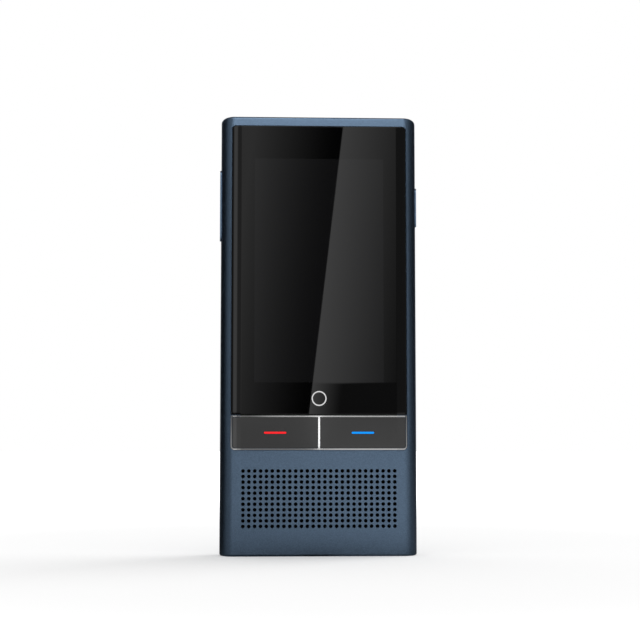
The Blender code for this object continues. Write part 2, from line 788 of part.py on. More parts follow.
def joint_at(name, place):
    """Empty on a joint's axis that carries the pieces which move with it."""
    empty = bpy.data.objects.new(name, None)
    empty.location = place
    empty.empty_display_size = OVERRUN
    parts.objects.link(empty)
    return empty


def keep_screws(name, places, seat_y):
    """Like screws, each a piece of its own, whose heads sit behind seat_y."""
    head_y = seat_y + SEAT
    tip_y = head_y - SCREW_REACH
    neck_y = head_y + SCREW_HEAD_HEIGHT
    profile = [
        (0.0, neck_y - SOCKET_DEPTH),
        (SOCKET_RADIUS, neck_y - SOCKET_DEPTH),
        (SOCKET_RADIUS, neck_y),
        (SCREW_HEAD_RADIUS, neck_y),
        (SCREW_HEAD_RADIUS, head_y),
        (SCREW_RADIUS, head_y),
        (SCREW_RADIUS, tip_y),
        (0.0, tip_y),
    ]
    for number, (x, z) in enumerate(places, start=1):
        keep(turned_y(f"{name}_{number}", profile, x, z, SCREW_SIDES), steel)


# Places that several pieces share

def grille_places():
    """Centres of the speaker holes."""
    return [
        (column * GRILLE_PITCH_X, GRILLE_BASE + row * GRILLE_PITCH_Z)
        for row in range(GRILLE_ROWS)
        for column in range(-GRILLE_SIDE_COLUMNS, GRILLE_SIDE_COLUMNS + 1)
    ]


def frame_screw_places():
    """Centres of the screws that hold the metal frame."""
    return [(side * FRAME_SCREW_X, z) for side in (-1, 1) for z in (FRAME_SCREW_BASE, FRAME_SCREW_TOP)]


def key_screw_places():
    """Centres of the screws that hold the key board."""
    x = KEY_BOARD_HALF_WIDTH - KEY_SCREW_INSET
    return [(side * x, KEY_BOARD_BASE + BOSS_RADIUS) for side in (-1, 1)]


def lower_screw_places():
    """Centres of the screws that hold the lower board."""
    return [(side * LOWER_SCREW_X, LOWER_SCREW_Z) for side in (-1, 1)]


def key_cell():
    """Sides of the right-hand opening in the key trim: low and high x, low and high z."""
    low_z = KEY_ROW_BASE + TRIM_WIDTH
    high_z = KEY_ROW_TOP - TRIM_WIDTH
    return TRIM_DIVIDER / 2, GLASS_HALF_WIDTH - TRIM_WIDTH, low_z, high_z


def key_outline(side, inset, radius):
    """Outline of the left (side -1) or right (side 1) key's cell, drawn in by inset."""
    low_x, high_x, low_z, high_z = key_cell()
    ends = sorted((side * (low_x + inset), side * (high_x - inset)))
    return span_rectangle(ends[0], ends[1], low_z + inset, high_z - inset, radius)


def key_middle_x():
    """Distance of each key's middle from the centre line."""
    low_x, high_x, _, _ = key_cell()
    return (low_x + high_x) / 2


# Shell

def body_blank(name):
    """The closed outer body, before it is parted into housing and cover."""
    blank = plate(name, [body_outline()], 0.0, BODY_HEIGHT, FACING_UP)
    round_rim(blank, END_FILLET, both_ends=True)
    return blank


def front_openings():
    """Cutters for the glass recess, display window, key wells and speaker holes."""
    recess = plate(
        "glass_recess",
        [span_rectangle(-GLASS_HALF_WIDTH - SEAM, GLASS_HALF_WIDTH + SEAM,
                        KEY_ROW_BASE - SEAM, GLASS_TOP + SEAM, GLASS_CORNER + SEAM)],
        FRONT_Y - OVERRUN, POCKET_FLOOR_Y)
    window = span_rectangle(-WINDOW_HALF_WIDTH, WINDOW_HALF_WIDTH, WINDOW_BASE, WINDOW_TOP, WINDOW_CORNER)
    wells = [key_outline(side, KEY_SILL, KEY_CORNER) for side in (-1, 1)]
    through = plate("window_and_wells", [window, *wells],
                    POCKET_FLOOR_Y - OVERRUN, FRONT_INNER_Y + OVERRUN)
    holes = [circle(GRILLE_HOLE_RADIUS, place, GRILLE_SIDES) for place in grille_places()]
    grille = plate("speaker_holes", holes, FRONT_Y - OVERRUN, FRONT_INNER_Y + LAP)
    return recess, through, grille


def side_key_cuts():
    """Cutters for the slots of the side keys and the flat seats behind them."""
    cuts = []
    for name, side, length, height in SIDE_KEYS:
        slot = stadium(SIDE_KEY_WIDTH + 2 * CLOSE_FIT, length + 2 * CLOSE_FIT)
        ends = sorted((side * (SIDE_SEAT_X - LAP), side * (HALF_WIDTH + OVERRUN)))
        cuts.append(plate(f"{name}_slot", [slot], ends[0], ends[1], FACING_SIDE, (WIDEST_Y, height)))
    return merged("side_key_slots", cuts)


def side_key_seats():
    """Cutters for the flat seats that the side keys' ears lie behind."""
    seats = []
    for name, side, length, height in SIDE_KEYS:
        half_y = SIDE_KEY_WIDTH / 2 + SEAT
        half_z = length / 2 + EAR_LENGTH + SEAT
        ends = sorted((side * SIDE_SEAT_X, side * (SWITCH_TIP_X - OVERRUN)))
        seats.append(block(f"{name}_seat", (ends[0], WIDEST_Y - half_y, height - half_z),
                           (ends[1], WIDEST_Y + half_y, height + half_z)))
    return merged("side_key_seats", seats)


def end_cuts():
    """Cutters for the tray door, charging port and microphone holes."""
    low_end = (-OVERRUN, END_WALL + LAP)
    high_end = (INNER_TOP_Z - LAP, BODY_HEIGHT + OVERRUN)
    door = plate("door_slot", [stadium(DOOR_LENGTH + 2 * CLOSE_FIT, DOOR_WIDTH + 2 * CLOSE_FIT)],
                 *high_end, FACING_UP, (CARD_X, CARD_Y))
    port = plate("port_slot", [stadium(PORT_WIDTH + 2 * SEAM, PORT_HEIGHT + 2 * SEAM)],
                 *low_end, FACING_UP, (0.0, PORT_Y))
    sound_hole = plate("sound_hole", [circle(SOUND_HOLE_RADIUS)],
                       *low_end, FACING_UP, (MICROPHONE_X, LOWER_FRONT_Y - SEAT - BOOT_DEPTH / 2))
    return merged("end_openings", [door, port, sound_hole])


def bosses():
    """Screw bosses and the speaker chamber's wall, which stand on the inside of the front."""
    root_y = FRONT_INNER_Y - LAP
    rings = [circle(BOSS_RADIUS), circle(BOSS_HOLE_RADIUS)]
    solids = []
    groups = (
        (frame_screw_places(), FRAME_FRONT_Y - SEAT),
        (key_screw_places(), KEY_BOARD_FRONT_Y - SEAT),
        (lower_screw_places(), LOWER_FRONT_Y - SEAT),
    )
    for places, top_y in groups:
        solids.extend(plate("boss", rings, root_y, top_y, FACING_FRONT, place) for place in places)
    inner = rounded_rectangle(2 * CHAMBER_HALF_WIDTH, 2 * CHAMBER_HALF_HEIGHT, CHAMBER_CORNER)
    outer = rounded_rectangle(2 * (CHAMBER_HALF_WIDTH + CHAMBER_WALL),
                              2 * (CHAMBER_HALF_HEIGHT + CHAMBER_WALL), CHAMBER_CORNER + CHAMBER_WALL)
    solids.append(plate("chamber_wall", [outer, inner], root_y, FRONT_INNER_Y + CHAMBER_RISE,
                        FACING_FRONT, (0.0, GRILLE_Z)))
    return merged("bosses_and_chamber", solids)


def make_front_housing():
    """Front face, sides and ends in one moulding, open at the back."""
    housing = body_blank("front_housing")
    cavity = plate("housing_hollow", [cavity_outline()], END_WALL, INNER_TOP_Z, FACING_UP)
    shape(housing, cavity, "DIFFERENCE")
    cover_room = plate("cover_room", [cover_outline(COVER_HALF_WIDTH + SEAM, COVER_WALL + SEAM)],
                       -OVERRUN, BODY_HEIGHT + OVERRUN, FACING_UP)
    shape(housing, cover_room, "DIFFERENCE")
    recess, through, grille = front_openings()
    shape(housing, recess, "DIFFERENCE")
    shape(housing, through, "DIFFERENCE")
    shape(housing, side_key_seats(), "DIFFERENCE")
    shape(housing, side_key_cuts(), "DIFFERENCE")
    shape(housing, end_cuts(), "DIFFERENCE")
    shape(housing, bosses(), "UNION")
    shape(housing, grille, "DIFFERENCE")
    keep(housing, blue_shell)


def snap_tabs():
    """Tabs inside the rear cover whose hooks catch under the housing's ledge."""
    ledge_x, ledge_y = inset_chain(side_chain(), SIDE_WALL)[-1]
    outer_x = ledge_x - SEAT
    inner_x = outer_x - TAB_THICKNESS
    tip_y = ledge_y - TAB_DEPTH
    solids = []
    for side in (-1, 1):
        for share in TAB_HEIGHT_SHARES:
            middle = BODY_HEIGHT * share
            root_y = back_y(outer_x, COVER_WALL) + LAP
            profile = [
                (side * inner_x, root_y),
                (side * inner_x, tip_y),
                (side * outer_x, tip_y),
                (side * (outer_x + HOOK_REACH), tip_y + HOOK_REACH),
                (side * (outer_x + HOOK_REACH), tip_y + HOOK_DEPTH),
                (side * outer_x, tip_y + HOOK_DEPTH),
                (side * outer_x, root_y),
            ]
            solids.append(plate("tab", [profile], middle - TAB_LENGTH / 2, middle + TAB_LENGTH / 2,
                                FACING_UP))
    return merged("snap_tabs", solids)


def make_rear_cover():
    """Curved back, with the camera's stepped pocket, the flash hole and the snap tabs."""
    cover = body_blank("rear_cover")
    zone = plate("cover_zone", [cover_outline(COVER_HALF_WIDTH, COVER_WALL)],
                 -OVERRUN, BODY_HEIGHT + OVERRUN, FACING_UP)
    shape(cover, zone, "INTERSECT")
    shape(cover, snap_tabs(), "UNION")
    pocket = clipped_rectangle(BEZEL_WIDTH + 2 * CLOSE_FIT, BEZEL_HEIGHT + 2 * CLOSE_FIT,
                               BEZEL_CORNER + CLOSE_FIT)
    opening = rounded_rectangle(BEZEL_WIDTH - 2 * (BEZEL_RIM + CAMERA_LEDGE),
                                BEZEL_HEIGHT - 2 * (BEZEL_RIM + CAMERA_LEDGE), WINDOW_CORNER)
    pocket_floor_y = CROWN_Y - CAMERA_POCKET_DEPTH
    shape(cover, plate("camera_pocket", [pocket], pocket_floor_y, CROWN_Y + OVERRUN,
                       FACING_FRONT, (0.0, BEZEL_Z)), "DIFFERENCE")
    openings = merged("camera_and_flash_openings", [
        plate("camera_opening", [opening], pocket_floor_y - COVER_WALL, pocket_floor_y + LAP,
              FACING_FRONT, (0.0, BEZEL_Z)),
        plate("flash_opening", [circle(FLASH_RADIUS + CLOSE_FIT, sides=LENS_SIDES)],
              back_y(FLASH_X) - COVER_WALL - OVERRUN, CROWN_Y + OVERRUN,
              FACING_FRONT, (FLASH_X, LENS_Z)),
    ])
    shape(cover, openings, "DIFFERENCE")
    keep(cover, blue_shell)


# Display

def make_display():
    """Cover glass, tape, touch sensor, display panel, backlight and the panel's flex."""
    glass = plate("cover_glass",
                  [span_rectangle(-GLASS_HALF_WIDTH, GLASS_HALF_WIDTH, GLASS_BASE, GLASS_TOP, GLASS_CORNER)],
                  GLASS_FRONT_Y, GLASS_BACK_Y)
    round_rim(glass, GLASS_EDGE_ROUND)
    keep(glass, black_glass)

    tape_outer = span_rectangle(TAPE_MARGIN - GLASS_HALF_WIDTH, GLASS_HALF_WIDTH - TAPE_MARGIN,
                                GLASS_BASE + TAPE_MARGIN, GLASS_TOP - TAPE_MARGIN, GLASS_CORNER)
    tape_inner = span_rectangle(-WINDOW_HALF_WIDTH, WINDOW_HALF_WIDTH, WINDOW_BASE, WINDOW_TOP, WINDOW_CORNER)
    keep(plate("glass_tape", [tape_outer, tape_inner], TAPE_FRONT_Y, TAPE_BACK_Y), black_foam)

    touch_half = WINDOW_HALF_WIDTH - TOUCH_MARGIN
    touch = span_rectangle(-touch_half, touch_half, WINDOW_BASE + TOUCH_MARGIN, WINDOW_TOP - TOUCH_MARGIN,
                           STACK_CORNER)
    keep(plate("touch_sensor", [touch], TOUCH_FRONT_Y, TOUCH_BACK_Y), clear_sheet)

    panel_middle_y = (PANEL_FRONT_Y + PANEL_BACK_Y) / 2
    rear_glass = span_rectangle(-PANEL_HALF_WIDTH, PANEL_HALF_WIDTH, PANEL_BASE, PANEL_TOP, STACK_CORNER)
    front_glass = span_rectangle(-PANEL_HALF_WIDTH, PANEL_HALF_WIDTH, PANEL_BASE + PANEL_LEDGE, PANEL_TOP,
                                 STACK_CORNER)
    panel = plate("display_panel", [rear_glass], panel_middle_y, PANEL_BACK_Y)
    shape(panel, plate("front_panel_glass", [front_glass], PANEL_FRONT_Y, panel_middle_y + LAP), "UNION")
    keep(panel, dark_panel)

    light_half = PANEL_HALF_WIDTH + BACKLIGHT_RIM
    light = span_rectangle(-light_half, light_half, PANEL_BASE - BACKLIGHT_RIM, PANEL_TOP + BACKLIGHT_RIM,
                           STACK_CORNER)
    keep(plate("backlight_unit", [light], BACKLIGHT_FRONT_Y, BACKLIGHT_BACK_Y), white_plastic)

    start_z = PANEL_BASE - SEAT
    turn_z = start_z - DISPLAY_FLEX_DROP
    back = panel_middle_y + DISPLAY_FLEX_REACH
    path = [(panel_middle_y, start_z), (panel_middle_y, turn_z), (back, turn_z),
            (back, turn_z - DISPLAY_FLEX_TAIL)]
    keep(plate("display_flex", [ribbon_outline(path, FLEX_BEND, FLEX_THICKNESS)],
               -DISPLAY_FLEX_WIDTH / 2, DISPLAY_FLEX_WIDTH / 2, FACING_SIDE), amber_flex)


def make_mid_frame():
    """Metal plate that carries the display's back, the boards and the battery."""
    outline = span_rectangle(-FRAME_HALF_WIDTH, FRAME_HALF_WIDTH, FRAME_BASE, FRAME_TOP, FRAME_CORNER)
    holes = [circle(SCREW_HOLE_RADIUS, place) for place in frame_screw_places()]
    frame = plate("mid_frame", [outline, *holes], FRAME_FRONT_Y, FRAME_BACK_Y)
    notches = []
    for name, side, length, height in SIDE_KEYS:
        half_z = length / 2 + EAR_LENGTH + FRAME_NOTCH_MARGIN
        ends = sorted((side * BRACKET_FACE_X, side * (FRAME_HALF_WIDTH + OVERRUN)))
        notches.append(block(f"{name}_notch", (ends[0], FRAME_FRONT_Y - OVERRUN, height - half_z),
                             (ends[1], FRAME_BACK_Y + OVERRUN, height + half_z)))
    shape(frame, merged("frame_notches", notches), "DIFFERENCE")
    keep(frame, steel)
    keep_screws("frame_screw", frame_screw_places(), FRAME_BACK_Y)


# Talk keys

def make_key_trim():
    """Bright frame round the two talk keys, with the bar between them."""
    outline = span_rectangle(-GLASS_HALF_WIDTH, GLASS_HALF_WIDTH, KEY_ROW_BASE, KEY_ROW_TOP, GLASS_CORNER)
    cells = [key_outline(side, 0.0, KEY_CORNER) for side in (-1, 1)]
    keep(plate("key_trim", [outline, *cells], FRONT_Y - TRIM_PROUD, POCKET_FLOOR_Y - SEAT), silver)


def make_talk_key(side, label, light_material):
    """One talk key: cap, light bar and the rubber pad that presses its dome."""
    middle_x = side * key_middle_x()
    joint = joint_at(f"{label}_key_joint", (middle_x, KEY_FRONT_Y, KEY_MIDDLE_Z))
    light_place = (middle_x, KEY_MIDDLE_Z)
    slot = stadium(LIGHT_LENGTH + 2 * CLOSE_FIT, LIGHT_HEIGHT + 2 * CLOSE_FIT, light_place)
    cap = plate(f"{label}_key_cap", [key_outline(side, CLOSE_FIT, KEY_CORNER), slot], KEY_FRONT_Y, KEY_BACK_Y)
    keep(cap, black_gloss, joint)

    bar = plate(f"{label}_light_bar", [stadium(LIGHT_LENGTH, LIGHT_HEIGHT)], KEY_FRONT_Y + LIGHT_SINK,
                KEY_FRONT_Y + LIGHT_DEPTH, FACING_FRONT, light_place)
    keep(bar, light_material, joint)

    well = stadium(LIGHT_LENGTH + 2 * LIGHT_WELL_MARGIN, LIGHT_HEIGHT + 2 * LIGHT_WELL_MARGIN, light_place)
    pad = plate(f"{label}_key_pad", [key_outline(side, KEY_SILL + SEAT, KEY_CORNER), well],
                PAD_FRONT_Y, PAD_BACK_Y - LAP)
    lip = plate(f"{label}_pad_lip", [key_outline(side, KEY_SILL - PAD_LIP, KEY_CORNER), well],
                PAD_LIP_Y, PAD_BACK_Y)
    shape(pad, lip, "UNION")
    plunger = cone_y(f"{label}_plunger", PLUNGER_RADIUS, PLUNGER_RADIUS, PAD_BACK_Y - LAP, PLUNGER_TIP_Y,
                     middle_x, KEY_MIDDLE_Z - PLUNGER_DROP, SCREW_SIDES)
    shape(pad, plunger, "UNION")
    keep(pad, black_rubber, joint)


def make_key_board():
    """Board under the talk keys, with its snap domes and lamps."""
    outline = span_rectangle(-KEY_BOARD_HALF_WIDTH, KEY_BOARD_HALF_WIDTH, KEY_BOARD_BASE, KEY_BOARD_TOP,
                             BOARD_CORNER)
    holes = [circle(SCREW_HOLE_RADIUS, place) for place in key_screw_places()]
    keep(plate("key_board", [outline, *holes], KEY_BOARD_FRONT_Y, KEY_BOARD_BACK_Y), green_board)
    keep_screws("key_board_screw", key_screw_places(), KEY_BOARD_BACK_Y)
    lamp_y = KEY_BOARD_FRONT_Y - FILM
    for label, side in (("left", -1), ("right", 1)):
        middle_x = side * key_middle_x()
        keep(cone_y(f"{label}_key_dome", DOME_TOP_RADIUS, DOME_RADIUS, DOME_FRONT_Y,
                    DOME_FRONT_Y + DOME_HEIGHT, middle_x, KEY_MIDDLE_Z - PLUNGER_DROP, SCREW_SIDES), steel)
        keep(block(f"{label}_key_led",
                   (middle_x - LED_LENGTH / 2, lamp_y - LED_THICKNESS, KEY_MIDDLE_Z - LED_HEIGHT / 2),
                   (middle_x + LED_LENGTH / 2, lamp_y, KEY_MIDDLE_Z + LED_HEIGHT / 2)), white_plastic)


# Side keys

def face_guide(side):
    """Solid whose outer face is the body's side moved out by the side keys' proud height."""
    chain = inset_chain(side_chain(), -SIDE_KEY_PROUD)
    outline = [(side * x, y) for x, y in chain]
    outline.append((0.0, chain[-1][1]))
    outline.append((0.0, chain[0][1]))
    return plate(f"face_guide_{side}", [outline], OVERRUN, BODY_HEIGHT - OVERRUN, FACING_UP)


def make_side_key(name, side, length, height, nub_reaches, joint_x):
    """Side key whose face follows the body's curve, with end ears and nubs for its switches."""
    joint = joint_at(f"{name}_joint", (side * joint_x, WIDEST_Y, height))
    ends = sorted((side * (EAR_INNER_X + LAP), side * (HALF_WIDTH + OVERRUN)))
    key = plate(name, [stadium(SIDE_KEY_WIDTH, length)], ends[0], ends[1], FACING_SIDE, (WIDEST_Y, height))
    shape(key, face_guide(side), "INTERSECT")
    ears = rounded_rectangle(SIDE_KEY_WIDTH, length + 2 * EAR_LENGTH, STACK_CORNER)
    ends = sorted((side * EAR_INNER_X, side * EAR_OUTER_X))
    shape(key, plate(f"{name}_ears", [ears], ends[0], ends[1], FACING_SIDE, (WIDEST_Y, height)), "UNION")
    ends = sorted((side * NUB_TIP_X, side * (EAR_INNER_X + LAP)))
    nubs = [rod_x("nub", NUB_RADIUS, ends[0], ends[1], WIDEST_Y, height + reach) for reach in nub_reaches]
    shape(key, merged(f"{name}_nubs", nubs), "UNION")
    keep(key, blue_shell, joint)


def make_side_switches(names, bracket_name, side, height, reaches):
    """Tact switches under a side key and the bracket that holds them on the frame."""
    for name, reach in zip(names, reaches):
        middle_z = height + reach
        ends = sorted((side * SWITCH_BACK_X, side * SWITCH_FACE_X))
        body = block(name, (ends[0], WIDEST_Y - SWITCH_WIDTH / 2, middle_z - SWITCH_LENGTH / 2),
                     (ends[1], WIDEST_Y + SWITCH_WIDTH / 2, middle_z + SWITCH_LENGTH / 2))
        ends = sorted((side * (SWITCH_FACE_X - LAP), side * SWITCH_TIP_X))
        tip = rod_x(f"{name}_tip", SWITCH_TIP_RADIUS, ends[0], ends[1], WIDEST_Y, middle_z)
        shape(body, tip, "UNION")
        keep(body, dark_plastic)
    half_z = max(reaches) + SWITCH_LENGTH / 2 + BRACKET_MARGIN
    ends = sorted((side * BRACKET_BACK_X, side * BRACKET_FACE_X))
    low_y = FRAME_BACK_Y + SEAT
    bracket = span_rectangle(low_y, low_y + BRACKET_RISE, height - half_z, height + half_z, STACK_CORNER)
    keep(plate(bracket_name, [bracket], ends[0], ends[1], FACING_SIDE), steel)


# Main board

def make_main_board():
    """Main board with the shields over its chips."""
    outline = span_rectangle(-MAIN_HALF_WIDTH, MAIN_HALF_WIDTH, MAIN_BASE, MAIN_TOP, BOARD_CORNER)
    keep(plate("main_board", [outline], MAIN_FRONT_Y, MAIN_BACK_Y), green_board)
    make_shield("processor_shield", PROCESSOR_SHIELD_MARGIN - MAIN_HALF_WIDTH, -SHIELD_SPLIT / 2,
                MAIN_BASE + PROCESSOR_SHIELD_RISE, PROCESSOR_SHIELD_HEIGHT)
    make_shield("radio_shield", SHIELD_SPLIT / 2, MAIN_HALF_WIDTH - RADIO_SHIELD_MARGIN,
                MAIN_BASE + RADIO_SHIELD_RISE, RADIO_SHIELD_HEIGHT)


def make_shield(name, low_x, high_x, base_z, height):
    """Pressed sheet can, open towards the board."""
    width = high_x - low_x
    middle_x = (low_x + high_x) / 2
    middle_z = base_z + height / 2
    can = plate(name, [rounded_rectangle(width, height, SHIELD_CORNER)], ON_MAIN_Y,
                ON_MAIN_Y + SHIELD_DEPTH, FACING_FRONT, (middle_x, middle_z))
    inside = rounded_rectangle(width - 2 * SHIELD_WALL, height - 2 * SHIELD_WALL, SHIELD_CORNER)
    hollow = plate(f"{name}_inside", [inside], ON_MAIN_Y - OVERRUN, ON_MAIN_Y + SHIELD_DEPTH - SHIELD_WALL,
                   FACING_FRONT, (middle_x, middle_z))
    shape(can, hollow, "DIFFERENCE")
    keep(can, silver)


def make_battery():
    """Pouch battery, its flat lead and the socket that the lead plugs on to."""
    front_y = FRAME_BACK_Y + SEAT
    pouch = block("battery", (-BATTERY_HALF_WIDTH, front_y, BATTERY_BASE),
                  (BATTERY_HALF_WIDTH, front_y + BATTERY_THICKNESS, BATTERY_TOP))
    round_edges(pouch, BATTERY_ROUND)
    keep(pouch, battery_wrap)
    socket_top = BATTERY_TOP + SEAT + BATTERY_FLEX_LENGTH
    half = BATTERY_SOCKET_WIDTH / 2
    socket = block("battery_socket",
                   (BATTERY_FLEX_X - half, ON_MAIN_Y, socket_top - BATTERY_SOCKET_HEIGHT),
                   (BATTERY_FLEX_X + half, ON_MAIN_Y + BATTERY_SOCKET_DEPTH, socket_top))
    keep(socket, dark_plastic)
    half = BATTERY_FLEX_WIDTH / 2
    flex_y = ON_MAIN_Y + BATTERY_SOCKET_DEPTH + SEAT
    flex = block("battery_flex", (BATTERY_FLEX_X - half, flex_y, BATTERY_TOP + SEAT),
                 (BATTERY_FLEX_X + half, flex_y + FLEX_THICKNESS, socket_top))
    keep(flex, amber_flex)


# Camera and flash

def make_camera():
    """Bezel, window, lens and module of the rear camera."""
    seat_y = CROWN_Y - CAMERA_POCKET_DEPTH + SEAM
    window_width = BEZEL_WIDTH - 2 * BEZEL_RIM
    window_height = BEZEL_HEIGHT - 2 * BEZEL_RIM
    inner_corner = BEZEL_CORNER - BEZEL_RIM
    bezel = plate("camera_bezel",
                  [clipped_rectangle(BEZEL_WIDTH, BEZEL_HEIGHT, BEZEL_CORNER),
                   clipped_rectangle(window_width, window_height, inner_corner)],
                  seat_y, CROWN_Y + BEZEL_PROUD, FACING_FRONT, (0.0, BEZEL_Z))
    keep(bezel, silver)
    window = plate("camera_window",
                   [clipped_rectangle(window_width - 2 * CLOSE_FIT, window_height - 2 * CLOSE_FIT,
                                      inner_corner - CLOSE_FIT)],
                   seat_y, seat_y + CAMERA_WINDOW_THICKNESS, FACING_FRONT, (0.0, BEZEL_Z))
    keep(window, black_glass)

    half = MODULE_SIZE / 2
    base_y = ON_MAIN_Y + MODULE_DEPTH
    barrel_y = seat_y - BARREL_CLEARANCE
    module = block("camera_module", (-half, ON_MAIN_Y, LENS_Z - half), (half, base_y, LENS_Z + half))
    barrel = cone_y("camera_barrel", BARREL_RADIUS, BARREL_RADIUS, base_y - LAP, barrel_y, 0.0, LENS_Z)
    shape(module, barrel, "UNION")
    recess = cone_y("lens_seat", LENS_RADIUS + CLOSE_FIT, LENS_RADIUS + CLOSE_FIT, barrel_y - LENS_RECESS,
                    barrel_y + OVERRUN, 0.0, LENS_Z)
    shape(module, recess, "DIFFERENCE")
    keep(module, dark_plastic)

    lens_back = barrel_y - LENS_RECESS + FILM
    crown = [
        (LENS_RADIUS * math.sin(QUARTER_TURN * step / ROUND_STEPS),
         lens_back + LENS_DEPTH / 2 + LENS_DEPTH / 2 * math.cos(QUARTER_TURN * step / ROUND_STEPS))
        for step in range(ROUND_STEPS + 1)
    ]
    crown[0] = (0.0, lens_back + LENS_DEPTH)
    profile = crown + [(LENS_RADIUS, lens_back), (0.0, lens_back)]
    keep(turned_y("camera_lens", profile, 0.0, LENS_Z), coated_lens)


def make_flash():
    """Flash lamp on the main board and the light guide that reaches through the cover."""
    half = FLASH_LED_SIZE / 2
    lamp_top = ON_MAIN_Y + FLASH_LED_THICKNESS
    lamp = block("flash_led", (FLASH_X - half, ON_MAIN_Y, LENS_Z - half),
                 (FLASH_X + half, lamp_top, LENS_Z + half))
    keep(lamp, flash_yellow)
    flange_y = back_y(FLASH_X + FLASH_FLANGE_RADIUS, COVER_WALL) - SEAT
    profile = [
        (0.0, back_y(FLASH_X) - FLASH_SINK),
        (FLASH_RADIUS, back_y(FLASH_X) - FLASH_SINK),
        (FLASH_RADIUS, flange_y),
        (FLASH_FLANGE_RADIUS, flange_y),
        (FLASH_FLANGE_RADIUS, flange_y - FLASH_FLANGE_THICKNESS),
        (FLASH_RADIUS, flange_y - FLASH_FLANGE_THICKNESS),
        (FLASH_RADIUS, lamp_top + SEAT),
        (0.0, lamp_top + SEAT),
    ]
    keep(turned_y("flash_lens", profile, FLASH_X, LENS_Z), flash_yellow)


# Card tray

def make_card_tray():
    """Card tray with its door, and the reader cage that it slides in."""
    joint = joint_at("sim_tray_joint", (CARD_X, CARD_Y, BODY_HEIGHT))
    door_base = BODY_HEIGHT - DOOR_THICKNESS
    tray_base = door_base - TRAY_LENGTH
    low_y = CARD_Y - TRAY_THICKNESS / 2
    high_y = CARD_Y + TRAY_THICKNESS / 2
    half = TRAY_WIDTH / 2
    card_half = half - TRAY_SILL
    card_base = tray_base + TRAY_SILL
    tray = plate("sim_tray",
                 [span_rectangle(CARD_X - half, CARD_X + half, tray_base, door_base + LAP, STACK_CORNER),
                  span_rectangle(CARD_X - card_half, CARD_X + card_half, card_base, card_base + CARD_LENGTH,
                                 STACK_CORNER)],
                 low_y, high_y)
    eject_hole = circle(EJECT_HOLE_RADIUS, (EJECT_HOLE_X, 0.0))
    door = plate("tray_door", [stadium(DOOR_LENGTH, DOOR_WIDTH), eject_hole], door_base, BODY_HEIGHT,
                 FACING_UP, (CARD_X, CARD_Y))
    shape(tray, door, "UNION")
    keep(tray, blue_shell, joint)

    inner_width = TRAY_WIDTH + 2 * READER_SIDE_GAP
    inner_depth = READER_DEPTH - 2 * READER_WALL
    reader_top = INNER_TOP_Z - READER_TOP_GAP
    reader = plate("sim_reader",
                   [rounded_rectangle(inner_width + 2 * READER_WALL, READER_DEPTH, READER_WALL),
                    rounded_rectangle(inner_width, inner_depth, READER_WALL)],
                   reader_top - READER_LENGTH, reader_top, FACING_UP, (CARD_X, CARD_Y))
    keep(reader, silver)


# Speaker and lower board

def make_speaker():
    """Dust mesh, gasket and loudspeaker behind the speaker holes."""
    half_x = CHAMBER_HALF_WIDTH - SEAT
    half_z = CHAMBER_HALF_HEIGHT - SEAT
    sheet = rounded_rectangle(2 * half_x, 2 * half_z, CHAMBER_CORNER)
    at = (0.0, GRILLE_Z)
    keep(plate("speaker_mesh", [sheet], MESH_FRONT_Y, MESH_BACK_Y, FACING_FRONT, at), black_foam)
    dish = rounded_rectangle(SPEAKER_WIDTH - 2 * SPEAKER_RIM, SPEAKER_HEIGHT - 2 * SPEAKER_RIM,
                             SPEAKER_CORNER - SPEAKER_RIM)
    keep(plate("speaker_gasket", [sheet, dish], GASKET_FRONT_Y, GASKET_BACK_Y, FACING_FRONT, at), black_foam)
    speaker = plate("speaker", [rounded_rectangle(SPEAKER_WIDTH, SPEAKER_HEIGHT, SPEAKER_CORNER)],
                    SPEAKER_FRONT_Y, SPEAKER_BACK_Y, FACING_FRONT, at)
    shape(speaker, plate("speaker_dish", [dish], SPEAKER_FRONT_Y - OVERRUN, SPEAKER_FRONT_Y + SPEAKER_DISH,
                         FACING_FRONT, at), "DIFFERENCE")
    inset = 2 * (SPEAKER_RIM + CONE_MARGIN)
    cone = plate("diaphragm", [rounded_rectangle(SPEAKER_WIDTH - inset, SPEAKER_HEIGHT - inset, CONE_MARGIN)],
                 SPEAKER_FRONT_Y + SPEAKER_DISH - CONE_THICKNESS, SPEAKER_FRONT_Y + SPEAKER_DISH + LAP,
                 FACING_FRONT, at)
    shape(speaker, cone, "UNION")
    keep(speaker, dark_plastic)


